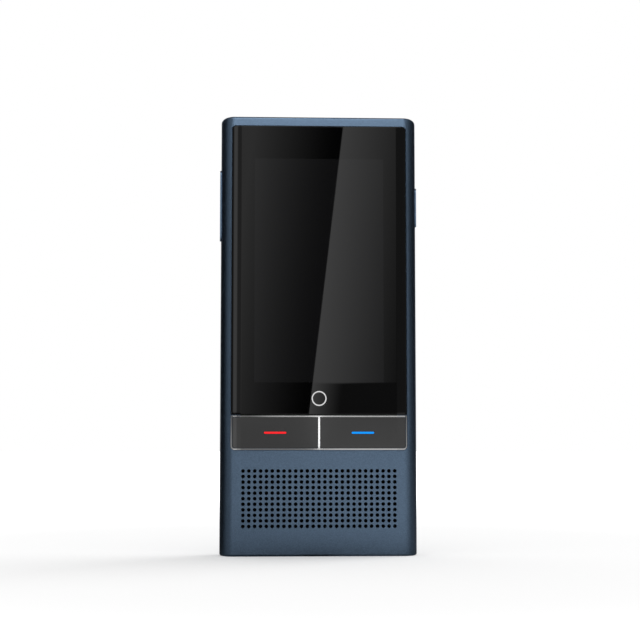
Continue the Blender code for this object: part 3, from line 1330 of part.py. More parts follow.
def make_lower_board():
    """Lower board, charging port, its screws and the flex that joins it to the main board."""
    outline = span_rectangle(-LOWER_HALF_WIDTH, LOWER_HALF_WIDTH, LOWER_BASE, LOWER_TOP, BOARD_CORNER)
    holes = [circle(SCREW_HOLE_RADIUS, place) for place in lower_screw_places()]
    keep(plate("lower_board", [outline, *holes], LOWER_FRONT_Y, LOWER_BACK_Y), green_board)
    keep_screws("lower_board_screw", lower_screw_places(), LOWER_BACK_Y)

    inner = (PORT_WIDTH - 2 * PORT_WALL, PORT_HEIGHT - 2 * PORT_WALL)
    port_top = PORT_SINK + PORT_LENGTH
    at = (0.0, PORT_Y)
    keep(plate("usb_shell", [stadium(PORT_WIDTH, PORT_HEIGHT), stadium(*inner)],
               PORT_SINK, port_top, FACING_UP, at), silver)
    stop_base = port_top - PLUG_STOP_THICKNESS
    tongue = plate("usb_tongue", [stadium(inner[0] - 2 * CLOSE_FIT, inner[1] - 2 * CLOSE_FIT)],
                   stop_base, port_top, FACING_UP, at)
    blade = block("usb_blade", (-TONGUE_WIDTH / 2, PORT_Y - TONGUE_THICKNESS / 2, PORT_SINK + TONGUE_SINK),
                  (TONGUE_WIDTH / 2, PORT_Y + TONGUE_THICKNESS / 2, stop_base + LAP))
    shape(tongue, blade, "UNION")
    keep(tongue, dark_plastic)

    upper_y = MAIN_BACK_Y + SEAT + FLEX_THICKNESS / 2
    lower_y = LOWER_FRONT_Y - SEAT - FLEX_THICKNESS / 2
    bend_z = LOWER_TOP + BOARD_FLEX_STEP
    path = [(upper_y, MAIN_BASE + BOARD_FLEX_TOP_LAP), (upper_y, bend_z + BOARD_FLEX_STEP), (lower_y, bend_z),
            (lower_y, LOWER_TOP - BOARD_FLEX_BASE_LAP)]
    keep(plate("board_flex", [ribbon_outline(path, BOARD_FLEX_BEND, FLEX_THICKNESS)],
               BOARD_FLEX_X - BOARD_FLEX_WIDTH / 2, BOARD_FLEX_X + BOARD_FLEX_WIDTH / 2, FACING_SIDE),
         amber_flex)


def make_microphone():
    """Microphone on the lower board and the rubber boot that joins it to its hole in the end wall."""
    back_of_boot = LOWER_FRONT_Y - SEAT
    boot_base = END_WALL + SEAT
    boot_top = boot_base + BOOT_THICKNESS
    boot = rounded_rectangle(MICROPHONE_WIDTH, BOOT_DEPTH, STACK_CORNER)
    keep(plate("microphone_boot", [boot, circle(SOUND_HOLE_RADIUS)], boot_base, boot_top, FACING_UP,
               (MICROPHONE_X, back_of_boot - BOOT_DEPTH / 2)), black_rubber)
    base_z = boot_top + SEAT
    keep(block("microphone", (MICROPHONE_X - MICROPHONE_WIDTH / 2, back_of_boot - MICROPHONE_DEPTH, base_z),
               (MICROPHONE_X + MICROPHONE_WIDTH / 2, back_of_boot, base_z + MICROPHONE_HEIGHT)), silver)


def make_antenna():
    """Thin antenna sheet that follows the inside of the back."""
    near = COVER_WALL + SEAT
    outline = back_arc(-ANTENNA_HALF_WIDTH, ANTENNA_HALF_WIDTH, near, BACK_STEPS)
    outline += back_arc(ANTENNA_HALF_WIDTH, -ANTENNA_HALF_WIDTH, near + ANTENNA_THICKNESS, BACK_STEPS)
    keep(plate("antenna", [outline], ANTENNA_BASE, ANTENNA_BASE + ANTENNA_HEIGHT, FACING_UP), amber_flex)


def build():
    """Make every piece of the translator."""
    make_display()
    make_mid_frame()
    make_key_trim()
    make_talk_key(-1, "left", red_light)
    make_talk_key(1, "right", blue_light)
    make_key_board()
    power_reaches = (0.0,)
    rocker_reaches = (-ROCKER_NUB_REACH, ROCKER_NUB_REACH)
    rocker_axis_x = (EAR_INNER_X + EAR_OUTER_X) / 2
    make_side_key("power_button", 1, POWER_LENGTH, POWER_Z, power_reaches, HALF_WIDTH)
    make_side_key("volume_rocker", -1, ROCKER_LENGTH, ROCKER_Z, rocker_reaches, rocker_axis_x)
    make_side_switches(("power_switch",), "power_bracket", 1, POWER_Z, power_reaches)
    make_side_switches(("volume_down_switch", "volume_up_switch"), "volume_bracket", -1, ROCKER_Z,
                       rocker_reaches)
    make_main_board()
    make_battery()
    make_camera()
    make_flash()
    make_card_tray()
    make_speaker()
    make_lower_board()
    make_microphone()
    make_antenna()
    make_rear_cover()
    make_front_housing()


clear_scene()
parts = new_collection("handheld_translator")
cutters = new_collection("cutters")
blue_shell = new_material("blue_shell", (0.095, 0.150, 0.215), 0.38, 0.6)
black_glass = new_material("black_glass", (0.006, 0.006, 0.007), 0.06)
clear_sheet = new_material("clear_sheet", (0.55, 0.58, 0.60), 0.10)
dark_panel = new_material("dark_panel", (0.02, 0.02, 0.025), 0.20)
white_plastic = new_material("white_plastic", (0.80, 0.80, 0.78), 0.50)
black_gloss = new_material("black_gloss", (0.020, 0.020, 0.022), 0.25)
black_rubber = new_material("black_rubber", (0.03, 0.03, 0.03), 0.85)
black_foam = new_material("black_foam", (0.02, 0.02, 0.02), 0.95)
dark_plastic = new_material("dark_plastic", (0.04, 0.04, 0.045), 0.55)
silver = new_material("silver", (0.70, 0.70, 0.71), 0.22, 1.0)
steel = new_material("steel", (0.50, 0.50, 0.51), 0.35, 1.0)
red_light = new_material("red_light", (1.00, 0.035, 0.035), 0.35)
blue_light = new_material("blue_light", (0.010, 0.30, 1.00), 0.35)
green_board = new_material("green_board", (0.02, 0.12, 0.05), 0.55)
amber_flex = new_material("amber_flex", (0.55, 0.25, 0.05), 0.45)
battery_wrap = new_material("battery_wrap", (0.35, 0.36, 0.38), 0.40)
coated_lens = new_material("coated_lens", (0.06, 0.04, 0.16), 0.05)
flash_yellow = new_material("flash_yellow", (0.85, 0.75, 0.35), 0.30)
build()
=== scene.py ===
"""Looks of the handheld translator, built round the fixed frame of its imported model.

Metres, +Z up. -Y is the display side and +X is the side of the power button. Every piece is made in
place, so that an object's own coordinates are the coordinates of the frame.
"""
import json
import logging
import math
from dataclasses import dataclass
from enum import Enum
from functools import cache
from typing import Callable, Iterable, Sequence, Union

import bmesh
import bpy
from mathutils import Matrix, Vector


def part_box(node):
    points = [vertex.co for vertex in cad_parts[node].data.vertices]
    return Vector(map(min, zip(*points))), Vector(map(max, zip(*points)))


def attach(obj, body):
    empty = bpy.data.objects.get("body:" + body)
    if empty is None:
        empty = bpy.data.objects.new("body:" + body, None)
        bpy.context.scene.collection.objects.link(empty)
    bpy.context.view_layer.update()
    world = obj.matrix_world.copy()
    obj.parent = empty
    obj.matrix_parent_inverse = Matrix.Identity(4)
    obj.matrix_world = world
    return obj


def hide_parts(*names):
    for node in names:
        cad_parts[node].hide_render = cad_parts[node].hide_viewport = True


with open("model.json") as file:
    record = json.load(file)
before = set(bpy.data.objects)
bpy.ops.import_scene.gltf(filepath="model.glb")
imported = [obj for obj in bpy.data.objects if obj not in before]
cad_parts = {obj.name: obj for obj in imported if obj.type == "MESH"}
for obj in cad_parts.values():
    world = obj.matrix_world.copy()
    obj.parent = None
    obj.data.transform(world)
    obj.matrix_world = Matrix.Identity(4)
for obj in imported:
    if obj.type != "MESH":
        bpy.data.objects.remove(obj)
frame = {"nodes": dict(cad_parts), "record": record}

log = logging.getLogger("translator")

Point = tuple[float, float]
Outline = list[Point]
Colour = tuple[float, float, float]
Band = tuple[float, float, float, float]
Socket = bpy.types.NodeSocket
Solid = bpy.types.Object
Operand = Union[float, Socket, "Value"]

WHITE = (1.0, 1.0, 1.0, 1.0)
QUARTER_TURN = math.pi / 2
SMOOTH_ANGLE = math.radians(32)
WELD = 0.000001  # points closer than this are one point
STRAIGHT = 0.001  # radians; a point where an outline turns less is dropped
WEIGHING_SCALE = 1000.0  # normals are weighed at this size: faces under one square unit get no weight
OVERRUN = 0.0010  # how far a cutter runs past what it cuts
LAP = 0.0002  # how far two solids that are joined overlap
SEAM = 0.0002  # gap between two pieces that are fixed
CLOSE_FIT = 0.00015  # gap round a piece that moves or is set in
ROUND_STEPS = 10  # straight runs in a rounded corner
SMALL_SIDES = 24  # straight runs round a small circle


class Facing(Enum):
    """How an outline lies: the turn that brings its flat drawing into place."""

    UP = (0.0, 0.0, 0.0)
    FRONT = (QUARTER_TURN, 0.0, 0.0)
    SIDE = (QUARTER_TURN, 0.0, QUARTER_TURN)


class Side(Enum):
    """Sides of the device, as signs of X."""

    LEFT = -1
    RIGHT = 1

    def span(self, first: float, second: float) -> list[float]:
        """Two distances out to this side, as X from low to high."""
        return sorted((self.value * first, self.value * second))


class Body(Enum):
    """Bodies of the frame that the pieces ride on."""

    CASE = "body"
    LEFT_KEY = "left_key"
    RIGHT_KEY = "right_key"
    POWER_KEY = "power_key"
    VOLUME_KEY = "volume_key"
    CARD_TRAY = "card_tray"


class Slot(Enum):
    """Material slots of the record."""

    BLUE_SHELL = "blue_shell"
    BLACK_GLASS = "black_glass"
    CLEAR_SHEET = "clear_sheet"
    DARK_PANEL = "dark_panel"
    WHITE_PLASTIC = "white_plastic"
    BLACK_GLOSS = "black_gloss"
    BLACK_RUBBER = "black_rubber"
    BLACK_FOAM = "black_foam"
    DARK_PLASTIC = "dark_plastic"
    SILVER = "silver"
    STEEL = "steel"
    RED_LIGHT = "red_light"
    BLUE_LIGHT = "blue_light"
    GREEN_BOARD = "green_board"
    AMBER_FLEX = "amber_flex"
    BATTERY_WRAP = "battery_wrap"
    COATED_LENS = "coated_lens"
    FLASH_YELLOW = "flash_yellow"


# Node graphs

class Graph:
    """Short hand for adding and joining shader nodes in one node tree."""

    def __init__(self, tree: bpy.types.NodeTree) -> None:
        """Work on a node tree."""
        self.tree = tree

    def node(self, kind: str, inputs: dict | None = None, **settings: object) -> bpy.types.Node:
        """Add a node.

        Args:
            kind: Blender's name of the node type, without the ShaderNode prefix.
            inputs: values or sockets for its inputs, by input name or number.
            settings: attributes of the node itself.

        Returns:
            The new node.
        """
        made = self.tree.nodes.new(f"ShaderNode{kind}")
        for name, value in settings.items():
            setattr(made, name, value)
        for key, value in (inputs or {}).items():
            self.join(value, made.inputs[key])
        return made

    def join(self, value: Operand | Colour, target: Socket) -> None:
        """Feed an input.

        Args:
            value: an output, a number or a colour.
            target: the input.
        """
        value = getattr(value, "socket", value)
        if isinstance(value, Socket):
            self.tree.links.new(value, target)
        elif target.type == "RGBA":
            target.default_value = (*value[:3], 1.0)
        else:
            target.default_value = value

    def math(self, operation: str, *values: Operand, clamp: bool = False) -> "Value":
        """Result of a Math node, held between 0 and 1 if clamp says so."""
        made = self.node("Math", dict(enumerate(values)), operation=operation, use_clamp=clamp)
        return Value(self, made.outputs[0])

    def span(self, value: Operand, low: float, high: float, start: float = 0.0, end: float = 1.0) -> "Value":
        """Ease from start to end while a value goes from low to high."""
        inputs = {"Value": value, "From Min": low, "From Max": high, "To Min": start, "To Max": end}
        return Value(self, self.node("MapRange", inputs, interpolation_type="SMOOTHSTEP").outputs["Result"])

    def mix(self, factor: Operand, first: Colour, second: Colour) -> Socket:
        """Mix two colours: the first where factor is 0, the second where it is 1."""
        return self.node("Mix", {0: factor, 6: first, 7: second}, data_type="RGBA").outputs[2]

    def ramp(self, share: Operand, stops: Sequence[Point]) -> "Value":
        """Follow a line through stops.

        Args:
            share: place along the line, from 0 to 1 for a turn from -180 to 180 degrees.
            stops: (degrees, value) pairs, from the lowest angle up.

        Returns:
            The value on the line.
        """
        made = self.node("FloatCurve", {"Value": share})
        curve = made.mapping.curves[0]
        made.mapping.use_clip = False
        places = [(angle / 360 + 0.5, value) for angle, value in stops]
        curve.points[0].location = places[0]
        curve.points[1].location = places[-1]
        for place in places[1:-1]:
            curve.points.new(*place)
        for point in curve.points:
            point.handle_type = "VECTOR"
        made.mapping.update()
        return Value(self, made.outputs[0])

    def place(self) -> tuple:
        """Object coordinates, which are metres in the frame: the vector, then its X, Y and Z."""
        vector = self.node("TexCoord").outputs["Object"]
        return vector, *(Value(self, part) for part in self.node("SeparateXYZ", {0: vector}).outputs)


@dataclass(frozen=True)
class Value:
    """A number in a node tree, on which arithmetic signs work as Math nodes."""

    graph: Graph
    socket: Socket

    def __add__(self, other: Operand) -> "Value":
        """Both added."""
        return self.graph.math("ADD", self, other)

    def __sub__(self, other: Operand) -> "Value":
        """This less the other."""
        return self.graph.math("SUBTRACT", self, other)

    def __rsub__(self, other: float) -> "Value":
        """The other less this."""
        return self.graph.math("SUBTRACT", other, self)

    def __mul__(self, other: Operand) -> "Value":
        """Both multiplied."""
        return self.graph.math("MULTIPLY", self, other)

    def __gt__(self, other: Operand) -> "Value":
        """1 where this is the greater one, otherwise 0."""
        return self.graph.math("GREATER_THAN", self, other)

    def __lt__(self, other: Operand) -> "Value":
        """1 where this is the smaller one, otherwise 0."""
        return self.graph.math("LESS_THAN", self, other)


def group_tree(name: str, inputs: dict[str, float], outputs: Sequence[str]) -> tuple[Graph, dict, dict]:
    """Start a shader node group.

    Args:
        name: the group's name.
        inputs: names of its number inputs, with their defaults.
        outputs: names of its number outputs.

    Returns:
        Its graph, its inputs as values by name, and its output sockets by name.
    """
    tree = bpy.data.node_groups.new(name, "ShaderNodeTree")
    for title, value in inputs.items():
        socket = tree.interface.new_socket(title, in_out="INPUT", socket_type="NodeSocketFloat")
        socket.default_value = value
    for title in outputs:
        tree.interface.new_socket(title, in_out="OUTPUT", socket_type="NodeSocketFloat")
    entry = tree.nodes.new("NodeGroupInput")
    leave = tree.nodes.new("NodeGroupOutput")
    graph = Graph(tree)
    given = {title: Value(graph, socket) for title, socket in entry.outputs.items()}
    return graph, given, dict(leave.inputs.items())


class SurfaceGroups:
    """Shader node groups that several finishes share, each built once."""

    cloud_scale = 0.05  # scale of a paint's clouds against its flakes
    drift_scale = 0.02  # scale of the drift in gloss against the grain
    stretch = (0.02, 1.0, 1.0)  # how brushed lines are drawn out along X

    @classmethod
    @cache
    def flake(cls) -> bpy.types.NodeTree:
        """Metal flakes of a paint: a shade that changes from flake to flake, and its fine relief.

        Returns:
            The group.
        """
        graph, given, out = group_tree(
            "metal_flake", {"Flake Size": 0.0003, "Shade": 0.1, "Cloud": 0.05}, ("Shade", "Relief"))
        vector = graph.place()[0]
        scale = graph.math("DIVIDE", 1.0, given["Flake Size"])
        cells = graph.node("TexVoronoi", {"Vector": vector, "Scale": scale})
        flake = Value(graph, graph.node("SeparateColor", {0: cells.outputs["Color"]}).outputs[0])
        cloud = cls.noise(graph, vector, scale * cls.cloud_scale, 2.0)
        spark = (flake - 0.5) * given["Shade"]
        drift = (cloud - 0.5) * given["Cloud"]
        graph.join(spark + drift + 1.0, out["Shade"])
        graph.join(flake, out["Relief"])
        return graph.tree

    @classmethod
    @cache
    def grain(cls) -> bpy.types.NodeTree:
        """Fine moulded grain: relief, and a slow drift in gloss.

        Returns:
            The group.
        """
        graph, given, out = group_tree("moulded_grain", {"Grain Size": 0.0002}, ("Relief", "Drift"))
        vector = graph.place()[0]
        scale = graph.math("DIVIDE", 1.0, given["Grain Size"])
        graph.join(cls.noise(graph, vector, scale, 3.0), out["Relief"])
        graph.join(cls.noise(graph, vector, scale * cls.drift_scale, 2.0), out["Drift"])
        return graph.tree

    @classmethod
    @cache
    def brushing(cls) -> bpy.types.NodeTree:
        """Fine scratches of rolled or polished metal, which run along X.

        Returns:
            The group.
        """
        graph, given, out = group_tree("metal_brushing", {"Line Width": 0.00005}, ("Line",))
        scale = graph.math("DIVIDE", 1.0, given["Line Width"])
        drawn_out = graph.node("VectorMath", {0: graph.place()[0], 1: cls.stretch}, operation="MULTIPLY")
        graph.join(cls.noise(graph, drawn_out.outputs[0], scale, 2.0), out["Line"])
        return graph.tree

    @staticmethod
    def noise(graph: Graph, vector: Socket, scale: Operand, detail: float) -> Value:
        """Soft noise from 0 to 1, with so many finer layers, over the surface."""
        inputs = {"Vector": vector, "Scale": scale, "Detail": detail}
        return Value(graph, graph.node("TexNoise", inputs).outputs[0])


# Finishes

class Surface(Graph):
    """A material in the making: its node graph and its Principled BSDF."""

    def __init__(self, name: str) -> None:
        """Start the material.

        Args:
            name: its name.
        """
        self.material = bpy.data.materials.new(name)
        self.material.use_nodes = True
        super().__init__(self.material.node_tree)
        self.shader = self.tree.nodes["Principled BSDF"]

    def feed(self, title: str, value: Operand | Colour) -> None:
        """Feed one of the shader's inputs with an output, a number or a colour."""
        self.join(value, self.shader.inputs[title])

    def bump(self, height: Operand, depth: float) -> None:
        """Give the surface relief, as deep as depth where height is 1."""
        self.feed("Normal", self.node("Bump", {"Distance": depth, "Height": height}).outputs["Normal"])


@dataclass(frozen=True)
class Finish:
    """A plain dielectric finish with moulded grain."""

    name: str
    slot: Slot
    colour: Colour
    roughness: float = 0.5
    grain_size: float = 0.0002
    grain_depth: float = 0.000004
    drift: float = 0.08  # how far its roughness wanders

    @cache
    def material(self) -> bpy.types.Material:
        """The finish as a material, made the first time it is asked for.

        Returns:
            The material.
        """
        surface = Surface(self.name)
        surface.feed("Base Color", self.colour)
        self.wire(surface)
        return surface.material

    def wire(self, surface: Surface) -> None:
        """Add the finish's own nodes.

        Args:
            surface: the material in the making.
        """
        grain = self.grain(surface)
        self.rough(surface, grain["Drift"])
        surface.bump(grain["Relief"], self.grain_depth)

    def grain(self, surface: Surface) -> bpy.types.NodeOutputs:
        """Place the shared grain, at this finish's size, and give its outputs."""
        return surface.node("Group", {"Grain Size": self.grain_size}, node_tree=SurfaceGroups.grain()).outputs

    def rough(self, surface: Surface, drift: Operand) -> None:
        """Let the roughness wander with a drift that goes from 0 to 1."""
        least = self.roughness - self.drift / 2
        surface.feed("Roughness", surface.math("MULTIPLY_ADD", drift, self.drift, least))


@dataclass(frozen=True)
class FlakePaint(Finish):
    """Satin paint full of fine metal flakes."""

    metallic: float = 1.0  # how much of the surface is flake
    flake_size: float = 0.00022
    flake_shade: float = 0.26  # how much lighter or darker single flakes are
    cloud_shade: float = 0.05  # how much the paint clouds
    flake_depth: float = 0.0000012  # relief of the flakes

    def wire(self, surface: Surface) -> None:
        """Add the flakes to colour, roughness and relief.

        Args:
            surface: the material in the making.
        """
        surface.feed("Metallic", self.metallic)
        sizes = {"Flake Size": self.flake_size, "Shade": self.flake_shade, "Cloud": self.cloud_shade}
        flakes = surface.node("Group", sizes, node_tree=SurfaceGroups.flake()).outputs
        tint = surface.node("VectorMath", {0: self.colour, "Scale": flakes["Shade"]}, operation="SCALE")
        surface.feed("Base Color", tint.outputs[0])
        self.rough(surface, flakes["Relief"])
        surface.bump(flakes["Relief"], self.flake_depth)


@dataclass(frozen=True)
class BrushedMetal(Finish):
    """Bare metal with fine brushing."""

    line_width: float = 0.00006
    line_depth: float = 0.000001

    def wire(self, surface: Surface) -> None:
        """Add brushing to roughness and relief.

        Args:
            surface: the material in the making.
        """
        surface.feed("Metallic", 1.0)
        widths = {"Line Width": self.line_width}
        line = surface.node("Group", widths, node_tree=SurfaceGroups.brushing()).outputs["Line"]
        self.rough(surface, line)
        surface.bump(line, self.line_depth)


@dataclass(frozen=True)
class DisplayGlass(Finish):
    """Cover glass, printed black on its back except over the display."""

    active_colour: Colour = (0.0062, 0.0062, 0.0066)  # linear colour of the dark display behind the glass
    half_width: float = 0.0187  # half the display's width
    base: float = 0.0495  # height of the display's lower edge
    top: float = 0.11465  # height of the display's upper edge
    soft_edge: float = 0.00012  # width over which the print ends

    def wire(self, surface: Surface) -> None:
        """Show the display through its opening in the print, and let the polish wander a little.

        Args:
            surface: the material in the making.
        """
        _, x, _, z = surface.place()
        inside = self.half_width - self.soft_edge
        across = surface.span(surface.math("ABSOLUTE", x), inside, self.half_width, 1.0, 0.0)
        above = surface.span(z, self.base, self.base + self.soft_edge)
        below = surface.span(z, self.top - self.soft_edge, self.top, 1.0, 0.0)
        surface.feed("Base Color", surface.mix(across * (above * below), self.colour, self.active_colour))
        self.rough(surface, self.grain(surface)["Drift"])


@dataclass(frozen=True)
class PolishedGlass(Finish):
    """Dark polished glass or a coated lens."""

    grain_size: float = 0.004
    drift: float = 0.02
    coat: float = 0.0  # strength of the clear coat that gives a lens its second reflection
    coat_roughness: float = 0.02  # roughness of that coat
    rim_colour: Colour | None = None  # linear colour towards the edge of a lens, seen at a slant
    rim_blend: float = 0.35  # how far in from the edge that colour reaches

    def wire(self, surface: Surface) -> None:
        """Add the coating's tint and a slight wander of the polish.

        Args:
            surface: the material in the making.
        """
        surface.feed("Coat Weight", self.coat)
        surface.feed("Coat Roughness", self.coat_roughness)
        if self.rim_colour is not None:
            slant = surface.node("LayerWeight", {"Blend": self.rim_blend}).outputs["Facing"]
            surface.feed("Base Color", surface.mix(slant, self.colour, self.rim_colour))
        self.rough(surface, self.grain(surface)["Drift"])


@dataclass(frozen=True)
class LitPlastic(Finish):
    """Coloured translucent plastic with a lamp behind it."""

    glow: float = 0.45  # strength of its own light
    thick_share: float = 0.8  # share of that light where the plastic is thicker
    gloss: float = 0.2  # specular level of its surface

    def wire(self, surface: Surface) -> None:
        """Add the glow, which is a little weaker where the plastic is thicker.

        Args:
            surface: the material in the making.
        """
        drift = self.grain(surface)["Drift"]
        dimmer = tuple(self.thick_share * value for value in self.colour)
        surface.feed("Emission Color", surface.mix(drift, dimmer, self.colour))
        surface.feed("Emission Strength", self.glow)
        surface.feed("Specular IOR Level", self.gloss)
        self.rough(surface, drift)


@dataclass(frozen=True)
class BoardMask(Finish):
    """Solder mask over copper traces."""

    trace_colour: Colour = (0.04, 0.20, 0.08)  # linear colour of the mask where copper lies under it
    trace_pitch: float = 0.0008
    trace_edge: Point = (0.30, 0.36)  # where in a cell, from its middle out, a trace begins

    def wire(self, surface: Surface) -> None:
        """Draw the traces under the mask.

        Args:
            surface: the material in the making.
        """
        surface.feed("Roughness", self.roughness)
        cells = surface.node("TexVoronoi", {"Vector": surface.place()[0], "Scale": 1.0 / self.trace_pitch},
                             distance="CHEBYCHEV", feature="F1")
        trace = surface.span(cells.outputs["Distance"], *self.trace_edge)
        surface.feed("Base Color", surface.mix(trace, self.colour, self.trace_colour))
        surface.bump(trace, self.grain_depth)


class Finishes:
    """Every finish of the device; one that bears a slot's name is that slot's own."""

    BLUE_SHELL = FlakePaint("blue_shell_paint", Slot.BLUE_SHELL, (0.160, 0.238, 0.345), 0.36, drift=0.10)
    COVER_GLASS = DisplayGlass("display_cover_glass", Slot.BLACK_GLASS, (0.0012, 0.0012, 0.0013), 0.012,
                               0.004, drift=0.01)
    BLACK_GLASS = PolishedGlass("black_window_glass", Slot.BLACK_GLASS, (0.0015, 0.0015, 0.0016), 0.03)
    BLACK_GLOSS = Finish("key_gloss_black", Slot.BLACK_GLOSS, (0.050, 0.050, 0.050), 0.08,
                         0.00012, 0.00000005, 0.03)
    SILVER = BrushedMetal("polished_silver", Slot.SILVER, (0.88, 0.88, 0.88), 0.035, drift=0.02,
                          line_depth=0.00000003)
    PORT_METAL = BrushedMetal("port_metal", Slot.SILVER, (0.62, 0.62, 0.63), 0.24, drift=0.08)
    STEEL = BrushedMetal("stamped_steel", Slot.STEEL, (0.50, 0.50, 0.51), 0.34, drift=0.12)
    RING_PRINT = Finish("ring_white_print", Slot.WHITE_PLASTIC, (0.95, 0.95, 0.95), 0.40, 0.0001, 0.0000005)
    ICON_PRINT = Finish("icon_grey_print", Slot.WHITE_PLASTIC, (0.42, 0.40, 0.35), 0.45, 0.0001, 0.0000005)
    RED_LIGHT = LitPlastic("red_light_bar", Slot.RED_LIGHT, (1.0, 0.016, 0.022), 0.30, 0.0006)
    BLUE_LIGHT = LitPlastic("blue_light_bar", Slot.BLUE_LIGHT, (0.0, 0.300, 1.0), 0.30, 0.0006)
    COATED_LENS = PolishedGlass("coated_lens_glass", Slot.COATED_LENS, (0.09, 0.055, 0.33), 0.02, 0.002,
                                coat=1.0, rim_colour=(0.004, 0.004, 0.012))
    LENS_SURROUND = Finish("lens_surround", Slot.DARK_PLASTIC, (0.016, 0.016, 0.017), 0.30,
                           0.00008, 0.000002)
    FLASH_YELLOW = PolishedGlass("flash_window", Slot.FLASH_YELLOW, (0.80, 0.68, 0.30), 0.20, 0.0004,
                                 drift=0.10, coat=0.5)
    CLEAR_SHEET = PolishedGlass("clear_sheet_glass", Slot.CLEAR_SHEET, (0.55, 0.58, 0.60), 0.08)
    DARK_PANEL = PolishedGlass("dark_panel_glass", Slot.DARK_PANEL, (0.02, 0.02, 0.025), 0.12)
    WHITE_PLASTIC = Finish("white_plastic_satin", Slot.WHITE_PLASTIC, (0.80, 0.80, 0.78), 0.50)
    BLACK_RUBBER = Finish("black_rubber_matt", Slot.BLACK_RUBBER, (0.022, 0.022, 0.022), 0.80,
                          0.0003, 0.000010)
    BLACK_FOAM = Finish("black_mesh_weave", Slot.BLACK_FOAM, (0.006, 0.006, 0.006), 0.95,
                        0.0001, 0.000020)
    DARK_PLASTIC = Finish("dark_plastic_satin", Slot.DARK_PLASTIC, (0.035, 0.035, 0.038), 0.50)
    GREEN_BOARD = BoardMask("green_solder_mask", Slot.GREEN_BOARD, (0.012, 0.090, 0.035), 0.35)
    AMBER_FLEX = Finish("amber_film", Slot.AMBER_FLEX, (0.50, 0.22, 0.05), 0.35, 0.0010, 0.000002)
    BATTERY_WRAP = BrushedMetal("battery_foil", Slot.BATTERY_WRAP, (0.45, 0.46, 0.48), 0.40, drift=0.15,
                                line_width=0.0004)


# Outlines

def rounded_rectangle(width: float, height: float, radius: float | Sequence[float],
                      centre: Point = (0.0, 0.0), steps: int = ROUND_STEPS) -> Outline:
    """Rectangle with its corners rounded.

    Args:
        width: size along the first axis.
        height: size along the second axis.
        radius: radius of its corners, or four radii from the lower right corner on, anticlockwise.
        centre: its middle.
        steps: straight runs in each corner; 1 cuts the corner off straight.

    Returns:
        The outline, anticlockwise from the lower right corner.
    """
    points = []
    radii = (radius,) * 4 if isinstance(radius, float) else radius
    for corner, (side_u, side_v) in enumerate(((1, -1), (1, 1), (-1, 1), (-1, -1))):
        own = radii[corner]
        for step in range(steps + 1):
            angle = (corner - 1 + step / steps) * QUARTER_TURN
            points.append((centre[0] + side_u * (width / 2 - own) + own * math.cos(angle),
                           centre[1] + side_v * (height / 2 - own) + own * math.sin(angle)))
    return points


def clipped_rectangle(width: float, height: float, clip: float, ease: float) -> Outline:
    """Rectangle with its corners cut off straight and the cut's own corners eased.

    Args:
        width: size along the first axis.
        height: size along the second axis.
        clip: how far each corner is cut back.
        ease: length over which each new corner is rounded.

    Returns:
        The outline, anticlockwise from the lower right corner.
    """
    corners = rounded_rectangle(width, height, clip, steps=1)
    points = []
    steps = 4
    for index, corner in enumerate(corners):
        before = corners[index - 1]
        after = corners[(index + 1) % len(corners)]
        start = toward(corner, before, ease)
        end = toward(corner, after, ease)
        for step in range(steps + 1):
            share = step / steps
            rest = 1 - share
            points.append(tuple(start[axis] * rest ** 2 + 2 * corner[axis] * share * rest
                                + end[axis] * share ** 2 for axis in (0, 1)))
    return points


def toward(start: Point, end: Point, distance: float) -> Point:
    """The point that lies a distance from start on the way to end."""
    length = math.dist(start, end)
    return tuple(a + (b - a) * distance / length for a, b in zip(start, end))


def stadium(length_u: float, length_v: float, centre: Point = (0.0, 0.0)) -> Outline:
    """Slot with fully round ends, anticlockwise."""
    radius = min(length_u, length_v) / 2 - WELD
    return rounded_rectangle(length_u, length_v, radius, centre)


def circle(radius: float, centre: Point = (0.0, 0.0), sides: int = 48) -> Outline:
    """Round outline of so many straight runs, anticlockwise."""
    return [(centre[0] + radius * math.cos(2 * math.pi * side / sides),
             centre[1] + radius * math.sin(2 * math.pi * side / sides)) for side in range(sides)]


# Solids

def add_object(name: str, mesh: bpy.types.Mesh) -> Solid:
    """Put a mesh in the scene as an object at the origin.

    Args:
        name: the object's name.
        mesh: its mesh.

    Returns:
        The object.
    """
    made = bpy.data.objects.new(name, mesh)
    bpy.context.scene.collection.objects.link(made)
    return made


def mesh_of(name: str, work: bmesh.types.BMesh) -> bpy.types.Mesh:
    """Turn a finished bmesh into a mesh and free it.

    Args:
        name: the mesh's name.
        work: the bmesh.

    Returns:
        The mesh.
    """
    bmesh.ops.recalc_face_normals(work, faces=work.faces)
    mesh = bpy.data.meshes.new(name)
    work.to_mesh(mesh)
    work.free()
    return mesh


